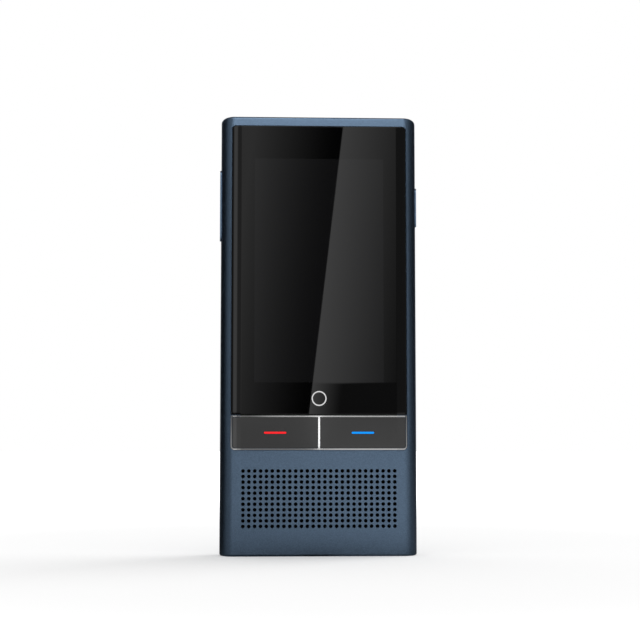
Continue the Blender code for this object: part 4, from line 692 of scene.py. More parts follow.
def plate(name: str, outlines: Sequence[Outline], low: float, high: float, facing: Facing = Facing.FRONT,
          at: Point = (0.0, 0.0)) -> Solid:
    """Flat piece: an outline, with any holes in it, extruded.

    Args:
        name: the object's name.
        outlines: the outer outline and the outlines of holes.
        low: where it starts along its thickness.
        high: where it ends.
        facing: how the outline lies.
        at: place of the outline's zero, in the two axes that it lies along.

    Returns:
        The new object, its mesh in place.
    """
    curve = bpy.data.curves.new(name, "CURVE")
    curve.dimensions = "2D"
    curve.fill_mode = "BOTH"
    curve.extrude = (high - low) / 2
    for outline in outlines:
        spline = curve.splines.new("POLY")
        spline.points.add(len(outline) - 1)
        for point, (u, v) in zip(spline.points, outline):
            point.co = (u, v, 0.0, 1.0)
        spline.use_cyclic_u = True
    guide = bpy.data.objects.new(name, curve)
    bpy.context.scene.collection.objects.link(guide)
    bpy.context.view_layer.update()
    mesh = bpy.data.meshes.new_from_object(guide.evaluated_get(bpy.context.evaluated_depsgraph_get()))
    bpy.data.objects.remove(guide, do_unlink=True)
    bpy.data.curves.remove(curve)
    middle = (low + high) / 2
    places = {Facing.UP: (*at, middle), Facing.FRONT: (at[0], middle, at[1]), Facing.SIDE: (middle, *at)}
    turn = Matrix.LocRotScale(Vector(places[facing]), None, None) @ turned(facing)
    work = bmesh.new()
    work.from_mesh(mesh)
    bpy.data.meshes.remove(mesh)
    bmesh.ops.remove_doubles(work, verts=work.verts, dist=WELD)
    bmesh.ops.dissolve_limit(work, angle_limit=STRAIGHT, verts=work.verts, edges=work.edges)
    bmesh.ops.transform(work, matrix=turn, verts=work.verts)
    return add_object(name, mesh_of(name, work))


def turned(facing: Facing) -> Matrix:
    """The turn of a facing as a matrix."""
    x, _, z = facing.value
    return Matrix.Rotation(z, 4, "Z") @ Matrix.Rotation(x, 4, "X")


def lofted(name: str, rings: Sequence[Sequence[Sequence[float]]], open_base: bool = False) -> Solid:
    """Solid through a stack of rings with equally many points, one above the other.

    Args:
        name: the object's name.
        rings: the points of each ring, from the lowest up.
        open_base: whether the lowest ring is left open.

    Returns:
        The new object.
    """
    work = bmesh.new()
    rows = [[work.verts.new(point) for point in ring] for ring in rings]
    count = len(rows[0])
    for lower, upper in zip(rows, rows[1:]):
        for index in range(count):
            after = (index + 1) % count
            work.faces.new((lower[index], lower[after], upper[after], upper[index]))
    if not open_base:
        work.faces.new(rows[0][::-1])
    work.faces.new(rows[-1])
    return add_object(name, mesh_of(name, work))


def turned_y(name: str, profile: Sequence[Point], x: float, z: float, sides: int = 48) -> Solid:
    """Piece turned about an axis along Y.

    Args:
        name: the object's name.
        profile: (radius, y) points, which start and end on the axis.
        x: place of the axis across.
        z: height of the axis.
        sides: number of facets round it.

    Returns:
        The new object.
    """
    work = bmesh.new()
    ends = [work.verts.new((x, profile[0][1], z)), work.verts.new((x, profile[-1][1], z))]
    rows = []
    for radius, y in profile[1:-1]:
        rows.append([work.verts.new((x + u, y, z + v)) for u, v in circle(radius, sides=sides)])
    for index in range(sides):
        after = (index + 1) % sides
        work.faces.new((ends[0], rows[0][index], rows[0][after]))
        work.faces.new((ends[1], rows[-1][after], rows[-1][index]))
        for inner, outer in zip(rows, rows[1:]):
            work.faces.new((inner[index], outer[index], outer[after], inner[after]))
    return add_object(name, mesh_of(name, work))


def block(name: str, low: Sequence[float], high: Sequence[float]) -> Solid:
    """Cutter with six flat sides between two corners."""
    (x0, y0, z0), (x1, y1, z1) = low, high
    return plate(name, [[(x0, z0), (x1, z0), (x1, z1), (x0, z1)]], y0, y1)


def merged(name: str, solids: Iterable[Solid]) -> Solid:
    """One object that holds several solids.

    Args:
        name: the new object's name.
        solids: the solids, which are removed.

    Returns:
        The new object.
    """
    work = bmesh.new()
    for solid in solids:
        work.from_mesh(solid.data)
        bpy.data.objects.remove(solid, do_unlink=True)
    return add_object(name, mesh_of(name, work))


def settled(solid: Solid) -> bpy.types.Mesh:
    """Make a solid's modifiers part of its mesh.

    Args:
        solid: the solid.

    Returns:
        Its new mesh.
    """
    bpy.context.view_layer.update()
    mesh = bpy.data.meshes.new_from_object(solid.evaluated_get(bpy.context.evaluated_depsgraph_get()))
    solid.modifiers.clear()
    old = solid.data
    solid.data = mesh
    bpy.data.meshes.remove(old)
    return mesh


def shaped(solid: Solid, tool: Solid, operation: str) -> Solid:
    """Cut a solid by a tool, join the two or keep what they share, and remove the tool.

    Args:
        solid: the solid that stays.
        tool: the other solid.
        operation: DIFFERENCE, UNION or INTERSECT.

    Returns:
        The solid.
    """
    step = solid.modifiers.new(tool.name, "BOOLEAN")
    step.operation = operation
    step.solver = "MANIFOLD"
    step.object = tool
    settled(solid)
    bpy.data.objects.remove(tool, do_unlink=True)
    return solid


def rounded(solid: Solid, width: float, wanted: Callable[[Vector, Vector], bool],
            segments: int = 3) -> Solid:
    """Round the sharp edges of a solid that a test picks.

    Args:
        solid: the solid.
        width: how far back from the edge the round starts.
        wanted: says from an edge's two ends whether it is rounded.
        segments: strips across the round.

    Returns:
        The solid.
    """
    work = bmesh.new()
    work.from_mesh(solid.data)
    picked = [edge for edge in work.edges
              if edge.calc_face_angle(0.0) > SMOOTH_ANGLE and wanted(edge.verts[0].co, edge.verts[1].co)]
    bmesh.ops.bevel(work, geom=picked, offset=width, segments=segments, profile=0.5, affect="EDGES",
                    clamp_overlap=True)
    work.to_mesh(solid.data)
    work.free()
    return solid


def at_level(axis: int, level: float) -> Callable[[Vector, Vector], bool]:
    """A test for rounded: picks the edges in a plane across an axis, at a level along it."""
    return lambda a, b: abs(a[axis] - level) < WELD and abs(b[axis] - level) < WELD


def crowned(solid: Solid, flat_half: float, band: float, drop: float, places: int = 14) -> Solid:
    """Bend the front of a piece back towards the device's long sides.

    Args:
        solid: the piece.
        flat_half: half the width over which the front stays flat.
        band: width of the bent stretch at each side.
        drop: how far back the front lies at the end of that stretch.
        places: number of cuts that the bent stretch gets.

    Returns:
        The piece.
    """
    work = bmesh.new()
    work.from_mesh(solid.data)
    low = min(corner.co.x for corner in work.verts)
    high = max(corner.co.x for corner in work.verts)
    back = max(corner.co.y for corner in work.verts)
    depth = back - min(corner.co.y for corner in work.verts)
    for place in range(places + 1):
        for side in (-1, 1):
            x = side * (flat_half + band * place / places)
            if low + WELD < x < high - WELD:
                bmesh.ops.bisect_plane(work, geom=work.verts[:] + work.edges[:] + work.faces[:], dist=WELD,
                                       plane_co=(x, 0, 0), plane_no=(1, 0, 0))
    for corner in work.verts:
        over = max(0.0, abs(corner.co.x) - flat_half) / band
        share = (back - corner.co.y) / depth
        corner.co.y += drop * over ** 2 * min(1.0, 2 * share)
    work.to_mesh(solid.data)
    work.free()
    return solid


def dress(solid: Solid, name: str, finish: Finish, body: Body, *nodes: str) -> None:
    """Clean and smooth a piece, give it its finish and tie it to the frame.

    Args:
        solid: the piece, in place.
        name: its name.
        finish: its finish.
        body: the body that it rides on.
        nodes: CAD nodes that it stands for.
    """
    solid.name = name
    mesh = solid.data
    work = bmesh.new()
    work.from_mesh(mesh)
    bmesh.ops.remove_doubles(work, verts=work.verts, dist=WELD)
    bmesh.ops.dissolve_degenerate(work, dist=WELD, edges=work.edges)
    work.to_mesh(mesh)
    work.free()
    mesh.shade_smooth()
    mesh.set_sharp_from_angle(angle=SMOOTH_ANGLE)
    mesh.transform(Matrix.Scale(WEIGHING_SCALE, 4))
    weighted = solid.modifiers.new("flat_faces_stay_flat", "WEIGHTED_NORMAL")
    weighted.keep_sharp = True
    mesh = settled(solid)
    mesh.transform(Matrix.Scale(1 / WEIGHING_SCALE, 4))
    mesh.name = name
    mesh.materials.clear()
    mesh.materials.append(finish.material())
    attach(solid, body.value)
    if nodes:
        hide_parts(*nodes)
    log.info("%s: %d faces on %s", name, len(mesh.polygons), body.value)


# Shell

@dataclass
class Shell:
    """The painted case: front housing and rear cover, parted along the crease of the back."""

    corner_reach: float = 0.0040  # how far the front corner reaches in from the side
    crease_inset: float = 0.0028  # how far the crease lies in from the side
    crown_rise: float = 0.0032  # how far the back rises from the crease to its crown
    shoulder_length: float = 0.0013  # pull of the curve from the widest line to the crease
    widest_depth: float = 0.0055  # depth of the widest line behind the front face
    end_round: float = 0.0006  # radius of the front and back edges of both ends
    head_round: float = 0.0012  # radius of the side edges of the upper end
    foot_round: float = 0.0006  # radius of the side edges of the lower end
    side_wall: float = 0.0015
    front_wall: float = 0.0020
    end_wall: float = 0.0016
    cover_wall: float = 0.0011
    crease_land: float = 0.0004  # width of the housing's edge outside the rear cover
    recess_corner: float = 0.0014  # radius of the corners of the recess that holds glass and keys
    recess_edge: float = 0.00016  # round of the recess's rim
    recess_play: float = 0.0003  # how far the recess reaches behind the glass's tape
    recess_lip: float = 0.0030  # width of the ledge that the recess keeps round the opening behind it
    opening_corner: float = 0.0010  # radius of that opening's corners
    slot_reach: float = 0.0006  # how far a side key's slot runs on inside the side
    ear_reach: float = 0.0030  # how far inside the side the room of a side key's ears ends
    ear_play: float = 0.0003  # play of a side key in that room
    hole_radius: float = 0.00052
    hole_edge: float = 0.00003  # width of the broken edge round a speaker hole
    hole_flare: float = 0.15  # slope of the broken edge's cutter in front of the case
    hole_sides: int = 16  # straight runs round a speaker hole
    hole_pitch_x: float = 0.001671  # spacing of the speaker holes across
    hole_pitch_z: float = 0.001572  # spacing of the speaker holes up
    hole_columns: int = 13  # number of speaker holes to each side of the middle one
    hole_rows: int = 11
    hole_base: float = 0.00853  # height of the lowest row
    sound_hole_radius: float = 0.00045  # radius of the microphone hole in the lower end
    sound_hole_x: float = -0.0115  # place of the microphone hole

    def __post_init__(self) -> None:
        """Read the case's extents from the frame."""
        low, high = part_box("front_housing")
        self.half_width = high.x
        self.height = high.z
        self.front_y = low.y
        self.crown_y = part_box("rear_cover")[1].y
        self.widest_y = self.front_y + self.widest_depth
        self.crease_x = self.half_width - self.crease_inset
        self.crease_y = self.crown_y - self.crown_rise
        self.back_radius = (self.crease_x ** 2 + self.crown_rise ** 2) / (2 * self.crown_rise)
        self.front_inner_y = self.front_y + self.front_wall

    def back_y(self, x: float, depth: float = 0.0) -> float:
        """Where the back lies at x, or an arc that much inside it."""
        return self.crown_y - self.back_radius + math.sqrt((self.back_radius - depth) ** 2 - x ** 2)

    def back_arc(self, low_x: float, high_x: float, depth: float = 0.0, steps: int = 64) -> Outline:
        """Points along the arc of the back.

        Args:
            low_x: where it starts.
            high_x: where it ends.
            depth: how far inside the back it lies.
            steps: number of straight runs.

        Returns:
            The points.
        """
        places = [low_x + (high_x - low_x) * step / steps for step in range(steps + 1)]
        return [(x, self.back_y(x, depth)) for x in places]

    def side_chain(self, corner_steps: int = 20, side_steps: int = 14) -> Outline:
        """The right side in plan: front corner, widest line, then in to the crease.

        Args:
            corner_steps: straight runs round the front corner.
            side_steps: straight runs from the widest line to the crease.

        Returns:
            The points.
        """
        flat_x = self.half_width - self.corner_reach
        chain = []
        for step in range(corner_steps + 1):
            angle = QUARTER_TURN * step / corner_steps
            chain.append((flat_x + self.corner_reach * math.sin(angle),
                          self.widest_y - self.widest_depth * math.cos(angle)))
        for step in range(1, side_steps + 1):
            share = step / side_steps
            rest = 1 - share
            x = self.half_width * (rest ** 2 + 2 * rest * share) + self.crease_x * share ** 2
            y = (self.widest_y * rest ** 2 + 2 * rest * share * (self.widest_y + self.shoulder_length)
                 + self.crease_y * share ** 2)
            chain.append((x, y))
        return chain

    def section(self) -> Outline:
        """Cross-section of the closed case.

        Returns:
            The outline, anticlockwise from the front right corner.
        """
        chain = self.side_chain()
        left = [(-x, y) for x, y in reversed(chain)]
        return chain[:-1] + self.back_arc(self.crease_x, -self.crease_x) + left[1:]

    def blank(self, name: str, steps: int = 6) -> Solid:
        """The closed outer case with round ends.

        Args:
            name: the object's name.
            steps: strips across the round of each end.

        Returns:
            The solid.
        """
        foot = self.end_rings(self.foot_round, steps)
        head = self.end_rings(self.head_round, steps)
        return lofted(name, foot + [[(x, y, self.height - z) for x, y, z in ring] for ring in reversed(head)])

    def end_rings(self, side_round: float, steps: int) -> list[list[tuple[float, float, float]]]:
        """Rings of a round lower end, from its face up.

        Args:
            side_round: radius of its side edges.
            steps: strips across the round.

        Returns:
            The points of each ring.
        """
        section = self.section()
        radii = []
        for x, _ in section:
            share = min(1.0, max(0.0, (abs(x) - self.half_width + self.corner_reach) / self.corner_reach))
            radii.append(self.end_round + (side_round - self.end_round) * share ** 2)
        rings = []
        for step in range(steps + 1):
            angle = QUARTER_TURN * step / steps
            inner = inset_outline(section, [radius * (1 - math.sin(angle)) for radius in radii])
            rings.append([(x, y, radius * (1 - math.cos(angle))) for (x, y), radius in zip(inner, radii)])
        return rings

    def cover_zone(self, name: str, half_width: float, depth: float) -> Solid:
        """Everything behind an arc inside the back, out past the crown.

        Args:
            name: the object's name.
            half_width: half the zone's width.
            depth: how far inside the back the arc lies.

        Returns:
            The solid.
        """
        outer_y = self.crown_y + OVERRUN
        outline = self.back_arc(-half_width, half_width, depth)
        outline += [(half_width, outer_y), (-half_width, outer_y)]
        return plate(name, [outline], -OVERRUN, self.height + OVERRUN, Facing.UP)

    def hollow(self) -> Solid:
        """The hollow of the housing, open towards the back.

        Returns:
            The solid.
        """
        chain = [point for point in inset_chain(self.side_chain(), self.side_wall)
                 if point[1] > self.front_inner_y]
        chain.insert(0, (chain[0][0], self.front_inner_y))
        chain.append((chain[-1][0], self.crown_y + OVERRUN))
        outline = chain + [(-x, y) for x, y in reversed(chain)]
        return plate("hollow", [outline], self.end_wall, self.height - self.end_wall, Facing.UP)

    def cut_recess(self, housing: Solid) -> None:
        """Cut the recess of glass and keys, round its rim and open what lies behind.

        Args:
            housing: the housing.
        """
        glass_low, glass_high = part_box("cover_glass")
        trim_low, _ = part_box("key_trim")
        floor_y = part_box("glass_tape")[1].y + self.recess_play
        width = glass_high.x - glass_low.x + 2 * SEAM
        height = glass_high.z - trim_low.z + 2 * SEAM
        middle = (glass_high.z + trim_low.z) / 2
        outline = rounded_rectangle(width, height, self.recess_corner)
        shaped(housing, plate("recess", [outline], self.front_y - OVERRUN, floor_y, at=(0.0, middle)),
               "DIFFERENCE")
        straight = (width / 2 - self.recess_corner, height / 2 - self.recess_corner)

        def on_rim(point: Vector) -> bool:
            """Whether a point lies where the recess's corners meet the front."""
            over = (max(abs(point.x) - straight[0], 0.0), max(abs(point.z - middle) - straight[1], 0.0))
            return point.y < floor_y - OVERRUN / 2 and abs(math.hypot(*over) - self.recess_corner) < 3 * WELD

        rounded(housing, self.recess_edge, lambda a, b: on_rim(a) and on_rim(b))
        through = rounded_rectangle(width - 2 * self.recess_lip, height - 2 * self.recess_lip,
                                    self.opening_corner)
        shaped(housing, plate("through", [through], floor_y - OVERRUN, self.front_inner_y + OVERRUN,
                              at=(0.0, middle)), "DIFFERENCE")

    def speaker_holes(self) -> Solid:
        """Cutters for the speaker holes, each flared to break its edge.

        Returns:
            The cutters, as one object.
        """
        wide = self.hole_radius + self.hole_edge
        start, end = self.front_y - OVERRUN, self.front_inner_y + OVERRUN
        profile = [(0.0, start), (wide + self.hole_flare * OVERRUN, start), (wide, self.front_y),
                   (self.hole_radius, self.front_y + self.hole_edge), (self.hole_radius, end), (0.0, end)]
        return merged("speaker_holes", [
            turned_y("hole", profile, column * self.hole_pitch_x, self.hole_base + row * self.hole_pitch_z,
                     self.hole_sides)
            for row in range(self.hole_rows)
            for column in range(-self.hole_columns, self.hole_columns + 1)])

    def end_cutters(self) -> Solid:
        """Cutters for the charging port, the microphone hole and the tray door.

        Returns:
            The cutters, as one object.
        """
        port_low, port_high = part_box("usb_shell")
        tray_low, tray_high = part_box("sim_tray")
        port = stadium(port_high.x - port_low.x + 2 * SEAM, port_high.y - port_low.y + 2 * SEAM)
        port_y = (port_low.y + port_high.y) / 2
        door = stadium(tray_high.x - tray_low.x + 2 * CLOSE_FIT, tray_high.y - tray_low.y + 2 * CLOSE_FIT)
        door_at = ((tray_low.x + tray_high.x) / 2, (tray_low.y + tray_high.y) / 2)
        boot_low, boot_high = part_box("microphone_boot")
        lower = (-OVERRUN, self.end_wall + LAP)
        upper = (self.height - self.end_wall - LAP, self.height + OVERRUN)
        return merged("end_openings", [
            plate("port_opening", [port], *lower, Facing.UP, (0.0, port_y)),
            plate("sound_opening", [circle(self.sound_hole_radius)], *lower, Facing.UP,
                  (self.sound_hole_x, (boot_low.y + boot_high.y) / 2)),
            plate("door_opening", [door], *upper, Facing.UP, door_at),
        ])

    def side_cutters(self) -> list[Solid]:
        """Cutters for the slots of the side keys and the rooms of their ears.

        Returns:
            The cutters.
        """
        solids = []
        inside = self.half_width - self.side_wall
        for node, side in (("power_button", Side.RIGHT), ("volume_rocker", Side.LEFT)):
            low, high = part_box(node)
            key = SideKey.read(node, side)
            slot = stadium(key.width + 2 * CLOSE_FIT, key.length + 2 * CLOSE_FIT)
            solids.append(key.layer("slot", slot, inside - self.slot_reach, self.half_width + OVERRUN))
            ends = side.span(inside - LAP, inside - self.ear_reach)
            solids.append(block("ear_room", (ends[0], low.y - self.ear_play, low.z - self.ear_play),
                                (ends[1], high.y + self.ear_play, high.z + self.ear_play)))
        return solids

    def build(self) -> None:
        """Make the housing and the rear cover."""
        self.build_housing()
        self.build_cover()

    def build_housing(self) -> None:
        """Front face, sides and ends in one moulding."""
        housing = self.blank("housing")
        shaped(housing, self.hollow(), "DIFFERENCE")
        shaped(housing, self.cover_zone("cover_room", self.crease_x - self.crease_land + SEAM,
                                        self.cover_wall + SEAM), "DIFFERENCE")
        self.cut_recess(housing)
        for cutter in [*self.side_cutters(), self.end_cutters(), self.speaker_holes()]:
            shaped(housing, cutter, "DIFFERENCE")
        dress(housing, "front_housing_shell", Finishes.BLUE_SHELL, Body.CASE, "front_housing")

    def build_cover(self) -> None:
        """Curved back with the camera's pocket and the opening of the flash."""
        cover = self.blank("cover")
        shaped(cover, self.cover_zone("cover_zone", self.crease_x - self.crease_land, self.cover_wall),
               "INTERSECT")
        for cutter in RearCamera(self).cutters():
            shaped(cover, cutter, "DIFFERENCE")
        dress(cover, "rear_cover_shell", Finishes.BLUE_SHELL, Body.CASE, "rear_cover")


def inset_chain(chain: Outline, distance: float | Sequence[float]) -> Outline:
    """An open chain moved inwards along its normals.

    Args:
        chain: the points, with the inside on their left.
        distance: how far they move, or one distance for each; outwards if it is negative.

    Returns:
        The moved points.
    """
    moved = []
    last = len(chain) - 1
    own = [distance] * len(chain) if isinstance(distance, float) else distance
    for index, (x, y) in enumerate(chain):
        before = chain[max(index - 1, 0)]
        after = chain[min(index + 1, last)]
        run_x, run_y = after[0] - before[0], after[1] - before[1]
        length = math.hypot(run_x, run_y)
        moved.append((x - own[index] * run_y / length, y + own[index] * run_x / length))
    return moved


def inset_outline(outline: Outline, distances: Sequence[float]) -> Outline:
    """A closed anticlockwise outline moved inwards, each point its own distance along its normal."""
    own = [distances[-1], *distances, distances[0]]
    return inset_chain([outline[-1], *outline, outline[0]], own)[1:-1]


# Front

@dataclass
class FrontGlass:
    """Cover glass over the display, with its rounded long edges and the printed home ring."""

    corner: float = 0.0012  # radius of the glass's upper corners
    lower_corner: float = 0.00015  # radius of its lower corners, where it meets the keys
    edge_round: float = 0.00018  # round of its rim
    band: float = 0.0030  # width of the bent stretch along each long side
    drop: float = 0.00032  # how far that stretch falls back
    ring_height: float = 0.04496
    ring_radius: float = 0.00214
    ring_line: float = 0.00034  # width of its line
    ring_proud: float = 0.00001  # how far the print stands on the glass
    ring_sides: int = 96  # straight runs round the ring

    def build(self) -> None:
        """Make the glass and its ring."""
        low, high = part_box("cover_glass")
        width, height = high.x - low.x, high.z - low.z
        radii = (self.lower_corner, self.corner, self.corner, self.lower_corner)
        glass = plate("glass", [rounded_rectangle(width, height, radii)], low.y, high.y,
                      at=(0.0, (low.z + high.z) / 2))
        rounded(glass, self.edge_round, at_level(1, low.y))
        crowned(glass, high.x - self.band, self.band, self.drop)
        dress(glass, "cover_glass_sheet", Finishes.COVER_GLASS, Body.CASE, "cover_glass")
        edges = [circle(radius, sides=self.ring_sides)
                 for radius in (self.ring_radius, self.ring_radius - self.ring_line)]
        ring = plate("ring", edges, low.y - self.ring_proud, low.y + self.ring_proud,
                     at=(0.0, self.ring_height))
        dress(ring, "home_ring_print", Finishes.RING_PRINT, Body.CASE)


@dataclass
class TalkKeys:
    """The two talk keys under the glass, their light bars and the bright trim round them."""

    glass: FrontGlass  # the glass above, whose bent long edges the keys follow
    trim_side: float = 0.00028  # width of the trim's lines along the sides
    trim_line: float = 0.00040  # width of its lines above and below the keys
    divider: float = 0.00055  # width of the bar between the keys
    gap: float = 0.00011  # gap round a key
    outer_corner: float = 0.0011  # radius of the trim's lower outer corners
    cell_corner: float = 0.0008  # radius of a key's lower outer corner
    inner_corner: float = 0.0001  # radius of every other corner
    bar_height: float = 0.00057
    bar_ease: float = 0.00014  # how much shorter a light bar is at each end than its light guide inside
    cap_edge: float = 0.00012  # round of a cap's rim
    trim_edge: float = 0.00004  # round of the trim's rim
    bar_edge: float = 0.00012  # round of a light bar's rim

    def build(self) -> None:
        """Make trim, caps and bars."""
        low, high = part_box("key_trim")
        cells = [self.cell(side, 0.0) for side in Side]
        radii = (self.outer_corner, self.inner_corner, self.inner_corner, self.outer_corner)
        outer = rounded_rectangle(high.x - low.x, high.z - low.z, radii, (0.0, (low.z + high.z) / 2))
        trim = plate("trim", [outer, *cells], low.y, high.y)
        rounded(trim, self.trim_edge, at_level(1, low.y), 1)
        self.bend(trim)
        dress(trim, "key_trim_frame", Finishes.SILVER, Body.CASE, "key_trim")
        self.build_key(Side.LEFT, Body.LEFT_KEY, Finishes.RED_LIGHT)
        self.build_key(Side.RIGHT, Body.RIGHT_KEY, Finishes.BLUE_LIGHT)

    def bend(self, solid: Solid) -> None:
        """Bend a solid's front as the glass above is bent."""
        crowned(solid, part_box("key_trim")[1].x - self.glass.band, self.glass.band, self.glass.drop)

    def cell(self, side: Side, inset: float) -> Outline:
        """Outline of one key's opening in the trim.

        Args:
            side: the side that the key is on.
            inset: how far the outline is drawn in.

        Returns:
            The outline.
        """
        low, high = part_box("key_trim")
        near = self.divider / 2 + inset
        far = high.x - self.trim_side - inset
        height = high.z - low.z - 2 * (self.trim_line + inset)
        middle = (side.value * (near + far) / 2, (low.z + high.z) / 2)
        radii = [self.inner_corner] * 4
        radii[0 if side is Side.RIGHT else 3] = self.cell_corner
        return rounded_rectangle(far - near, height, radii, middle)

    def build_key(self, side: Side, body: Body, light: Finish) -> None:
        """One key: its cap and its light bar.

        Args:
            side: the side that it is on.
            body: the body that it rides on.
            light: finish of its light bar.
        """
        label = side.name.lower()
        low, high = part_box(f"{label}_key_cap")
        bar_low, bar_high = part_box(f"{label}_light_bar")
        bar_at = ((bar_low.x + bar_high.x) / 2, (bar_low.z + bar_high.z) / 2)
        bar_size = (bar_high.x - bar_low.x - 2 * self.bar_ease, self.bar_height)
        room = stadium(bar_size[0] + self.gap, bar_size[1] + self.gap, bar_at)
        cap = plate("cap", [self.cell(side, self.gap), room], low.y, high.y)
        front = at_level(1, low.y)
        rounded(cap, self.cap_edge, lambda a, b: front(a, b) and abs(a.z - bar_at[1]) > bar_size[1])
        self.bend(cap)
        dress(cap, f"{label}_key_cap_shell", Finishes.BLACK_GLOSS, body, f"{label}_key_cap")
        bar = plate("bar", [stadium(*bar_size)], bar_low.y, bar_high.y, at=bar_at)
        rounded(bar, self.bar_edge, at_level(1, bar_low.y))
        dress(bar, f"{label}_light_bar_lens", light, body, f"{label}_light_bar")


# Side keys

@dataclass
class SideKey:
    """A key in a long side, whose face follows the case."""

    node: str
    side: Side
    width: float  # its width across the case's depth
    length: float
    middle_y: float  # depth of its middle
    middle_z: float  # height of its middle
    ear_length: float = 0.0010  # how far an ear reaches past each end
    ear_thickness: float = 0.0006
    ear_corner: float = 0.0005  # radius of their corners
    nub_radius: float = 0.0006  # radius of the nubs that press the switches
    nub_length: float = 0.0004  # how far they reach in from the ears
    proud: float = 0.00035  # how far the key stands out of the case
    edge: float = 0.00018  # round of its rim
    icon_radius: float = 0.00085  # outer radius of the power icon
    icon_line: float = 0.00018  # width of its lines
    icon_depth: float = 0.00006  # depth of its grooves
    icon_gap: float = math.radians(38)  # half the opening of its ring
    icon_steps: int = 40  # straight runs round its ring
    icon_bar_rise: float = 0.62  # height of its bar's middle, as a share of its radius
    icon_play: float = 0.00001  # how much the print stays inside the groove's sides and face
    icon_lift: float = 0.000005  # how far the print stays off the groove's floor

    @classmethod
    def read(cls, node: str, side: Side) -> "SideKey":
        """Take a side key's sizes from the frame.

        Args:
            node: its CAD node.
            side: the side that it is in.

        Returns:
            The key.
        """
        low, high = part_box(node)
        length = high.z - low.z - 2 * cls.ear_length
        return cls(node, side, high.y - low.y, length, (low.y + high.y) / 2, (low.z + high.z) / 2)

    def face_guide(self, shell: Shell, proud: float) -> Solid:
        """Solid whose outer face lies a little outside the case's side.

        Args:
            shell: the case.
            proud: how far outside it lies.

        Returns:
            The solid.
        """
        chain = inset_chain(shell.side_chain(), -proud)
        outline = [(self.side.value * x, y) for x, y in chain]
        outline += [(0.0, chain[-1][1]), (0.0, chain[0][1])]
        return plate("face_guide", [outline], OVERRUN, shell.height - OVERRUN, Facing.UP)

    def layer(self, name: str, outline: Outline, near: float, far: float) -> Solid:
        """Plate round the key's middle, between two distances out from the device's middle."""
        return plate(name, [outline], *self.side.span(near, far), Facing.SIDE, (self.middle_y, self.middle_z))

    def build(self, shell: Shell, body: Body, nub_reaches: Sequence[float], icon: bool) -> None:
        """Make the key, and the icon on it.

        Args:
            shell: the case that it is in.
            body: the body that it rides on.
            nub_reaches: heights of its nubs from its middle.
            icon: whether it carries the power icon.
        """
        low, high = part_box(self.node)
        inner = min(abs(low.x), abs(high.x))
        ear_inner = inner + self.nub_length
        key = self.layer(self.node, stadium(self.width, self.length), ear_inner + LAP,
                         shell.half_width + OVERRUN)
        shaped(key, self.face_guide(shell, self.proud), "INTERSECT")
        flat = shell.half_width - shell.side_wall
        rounded(key, self.edge, lambda a, b: min(abs(a.x), abs(b.x)) > flat)
        ears = rounded_rectangle(self.width, self.length + 2 * self.ear_length, self.ear_corner)
        shaped(key, self.layer("ears", ears, ear_inner, ear_inner + self.ear_thickness), "UNION")
        nubs = [self.layer("nub", circle(self.nub_radius, (0.0, reach), SMALL_SIDES), inner, ear_inner + LAP)
                for reach in nub_reaches]
        shaped(key, merged("nubs", nubs), "UNION")
        if icon:
            self.build_icon(shell, body, key)
        dress(key, f"{self.node}_key", Finishes.BLUE_SHELL, body, self.node)

    def icon_outlines(self, ease: float) -> list[Outline]:
        """The power icon: an open ring and an upright bar.

        Args:
            ease: how much wider than the print the lines are.

        Returns:
            The outlines of its two strokes.
        """
        outer = self.icon_radius + ease
        inner = self.icon_radius - self.icon_line - ease
        gap = self.icon_gap - ease / self.icon_radius
        angles = [QUARTER_TURN + gap + (2 * math.pi - 2 * gap) * step / self.icon_steps
                  for step in range(self.icon_steps + 1)]
        ring = [(outer * math.cos(a), outer * math.sin(a)) for a in angles]
        ring += [(inner * math.cos(a), inner * math.sin(a)) for a in reversed(angles)]
        bar = rounded_rectangle(self.icon_line + 2 * ease, self.icon_radius + 2 * ease, self.icon_line / 3,
                                (0.0, self.icon_radius * self.icon_bar_rise), 3)
        return [ring, bar]

    def build_icon(self, shell: Shell, body: Body, key: Solid) -> None:
        """Sink the power icon into the key's face.

        Args:
            shell: the case.
            body: the body that the key rides on.
            key: the key, which gets the grooves.
        """
        floor = shell.half_width + self.proud - self.icon_depth
        strokes = zip(self.icon_outlines(self.icon_play), self.icon_outlines(0.0))
        for number, (groove, stroke) in enumerate(strokes, 1):
            shaped(key, self.layer("groove", groove, floor, floor + OVERRUN), "DIFFERENCE")
            mark = self.layer("mark", stroke, floor + self.icon_lift, floor + OVERRUN)
            shaped(mark, self.face_guide(shell, self.proud - self.icon_play), "INTERSECT")
            dress(mark, f"power_icon_{number}", Finishes.ICON_PRINT, body)


# Card tray

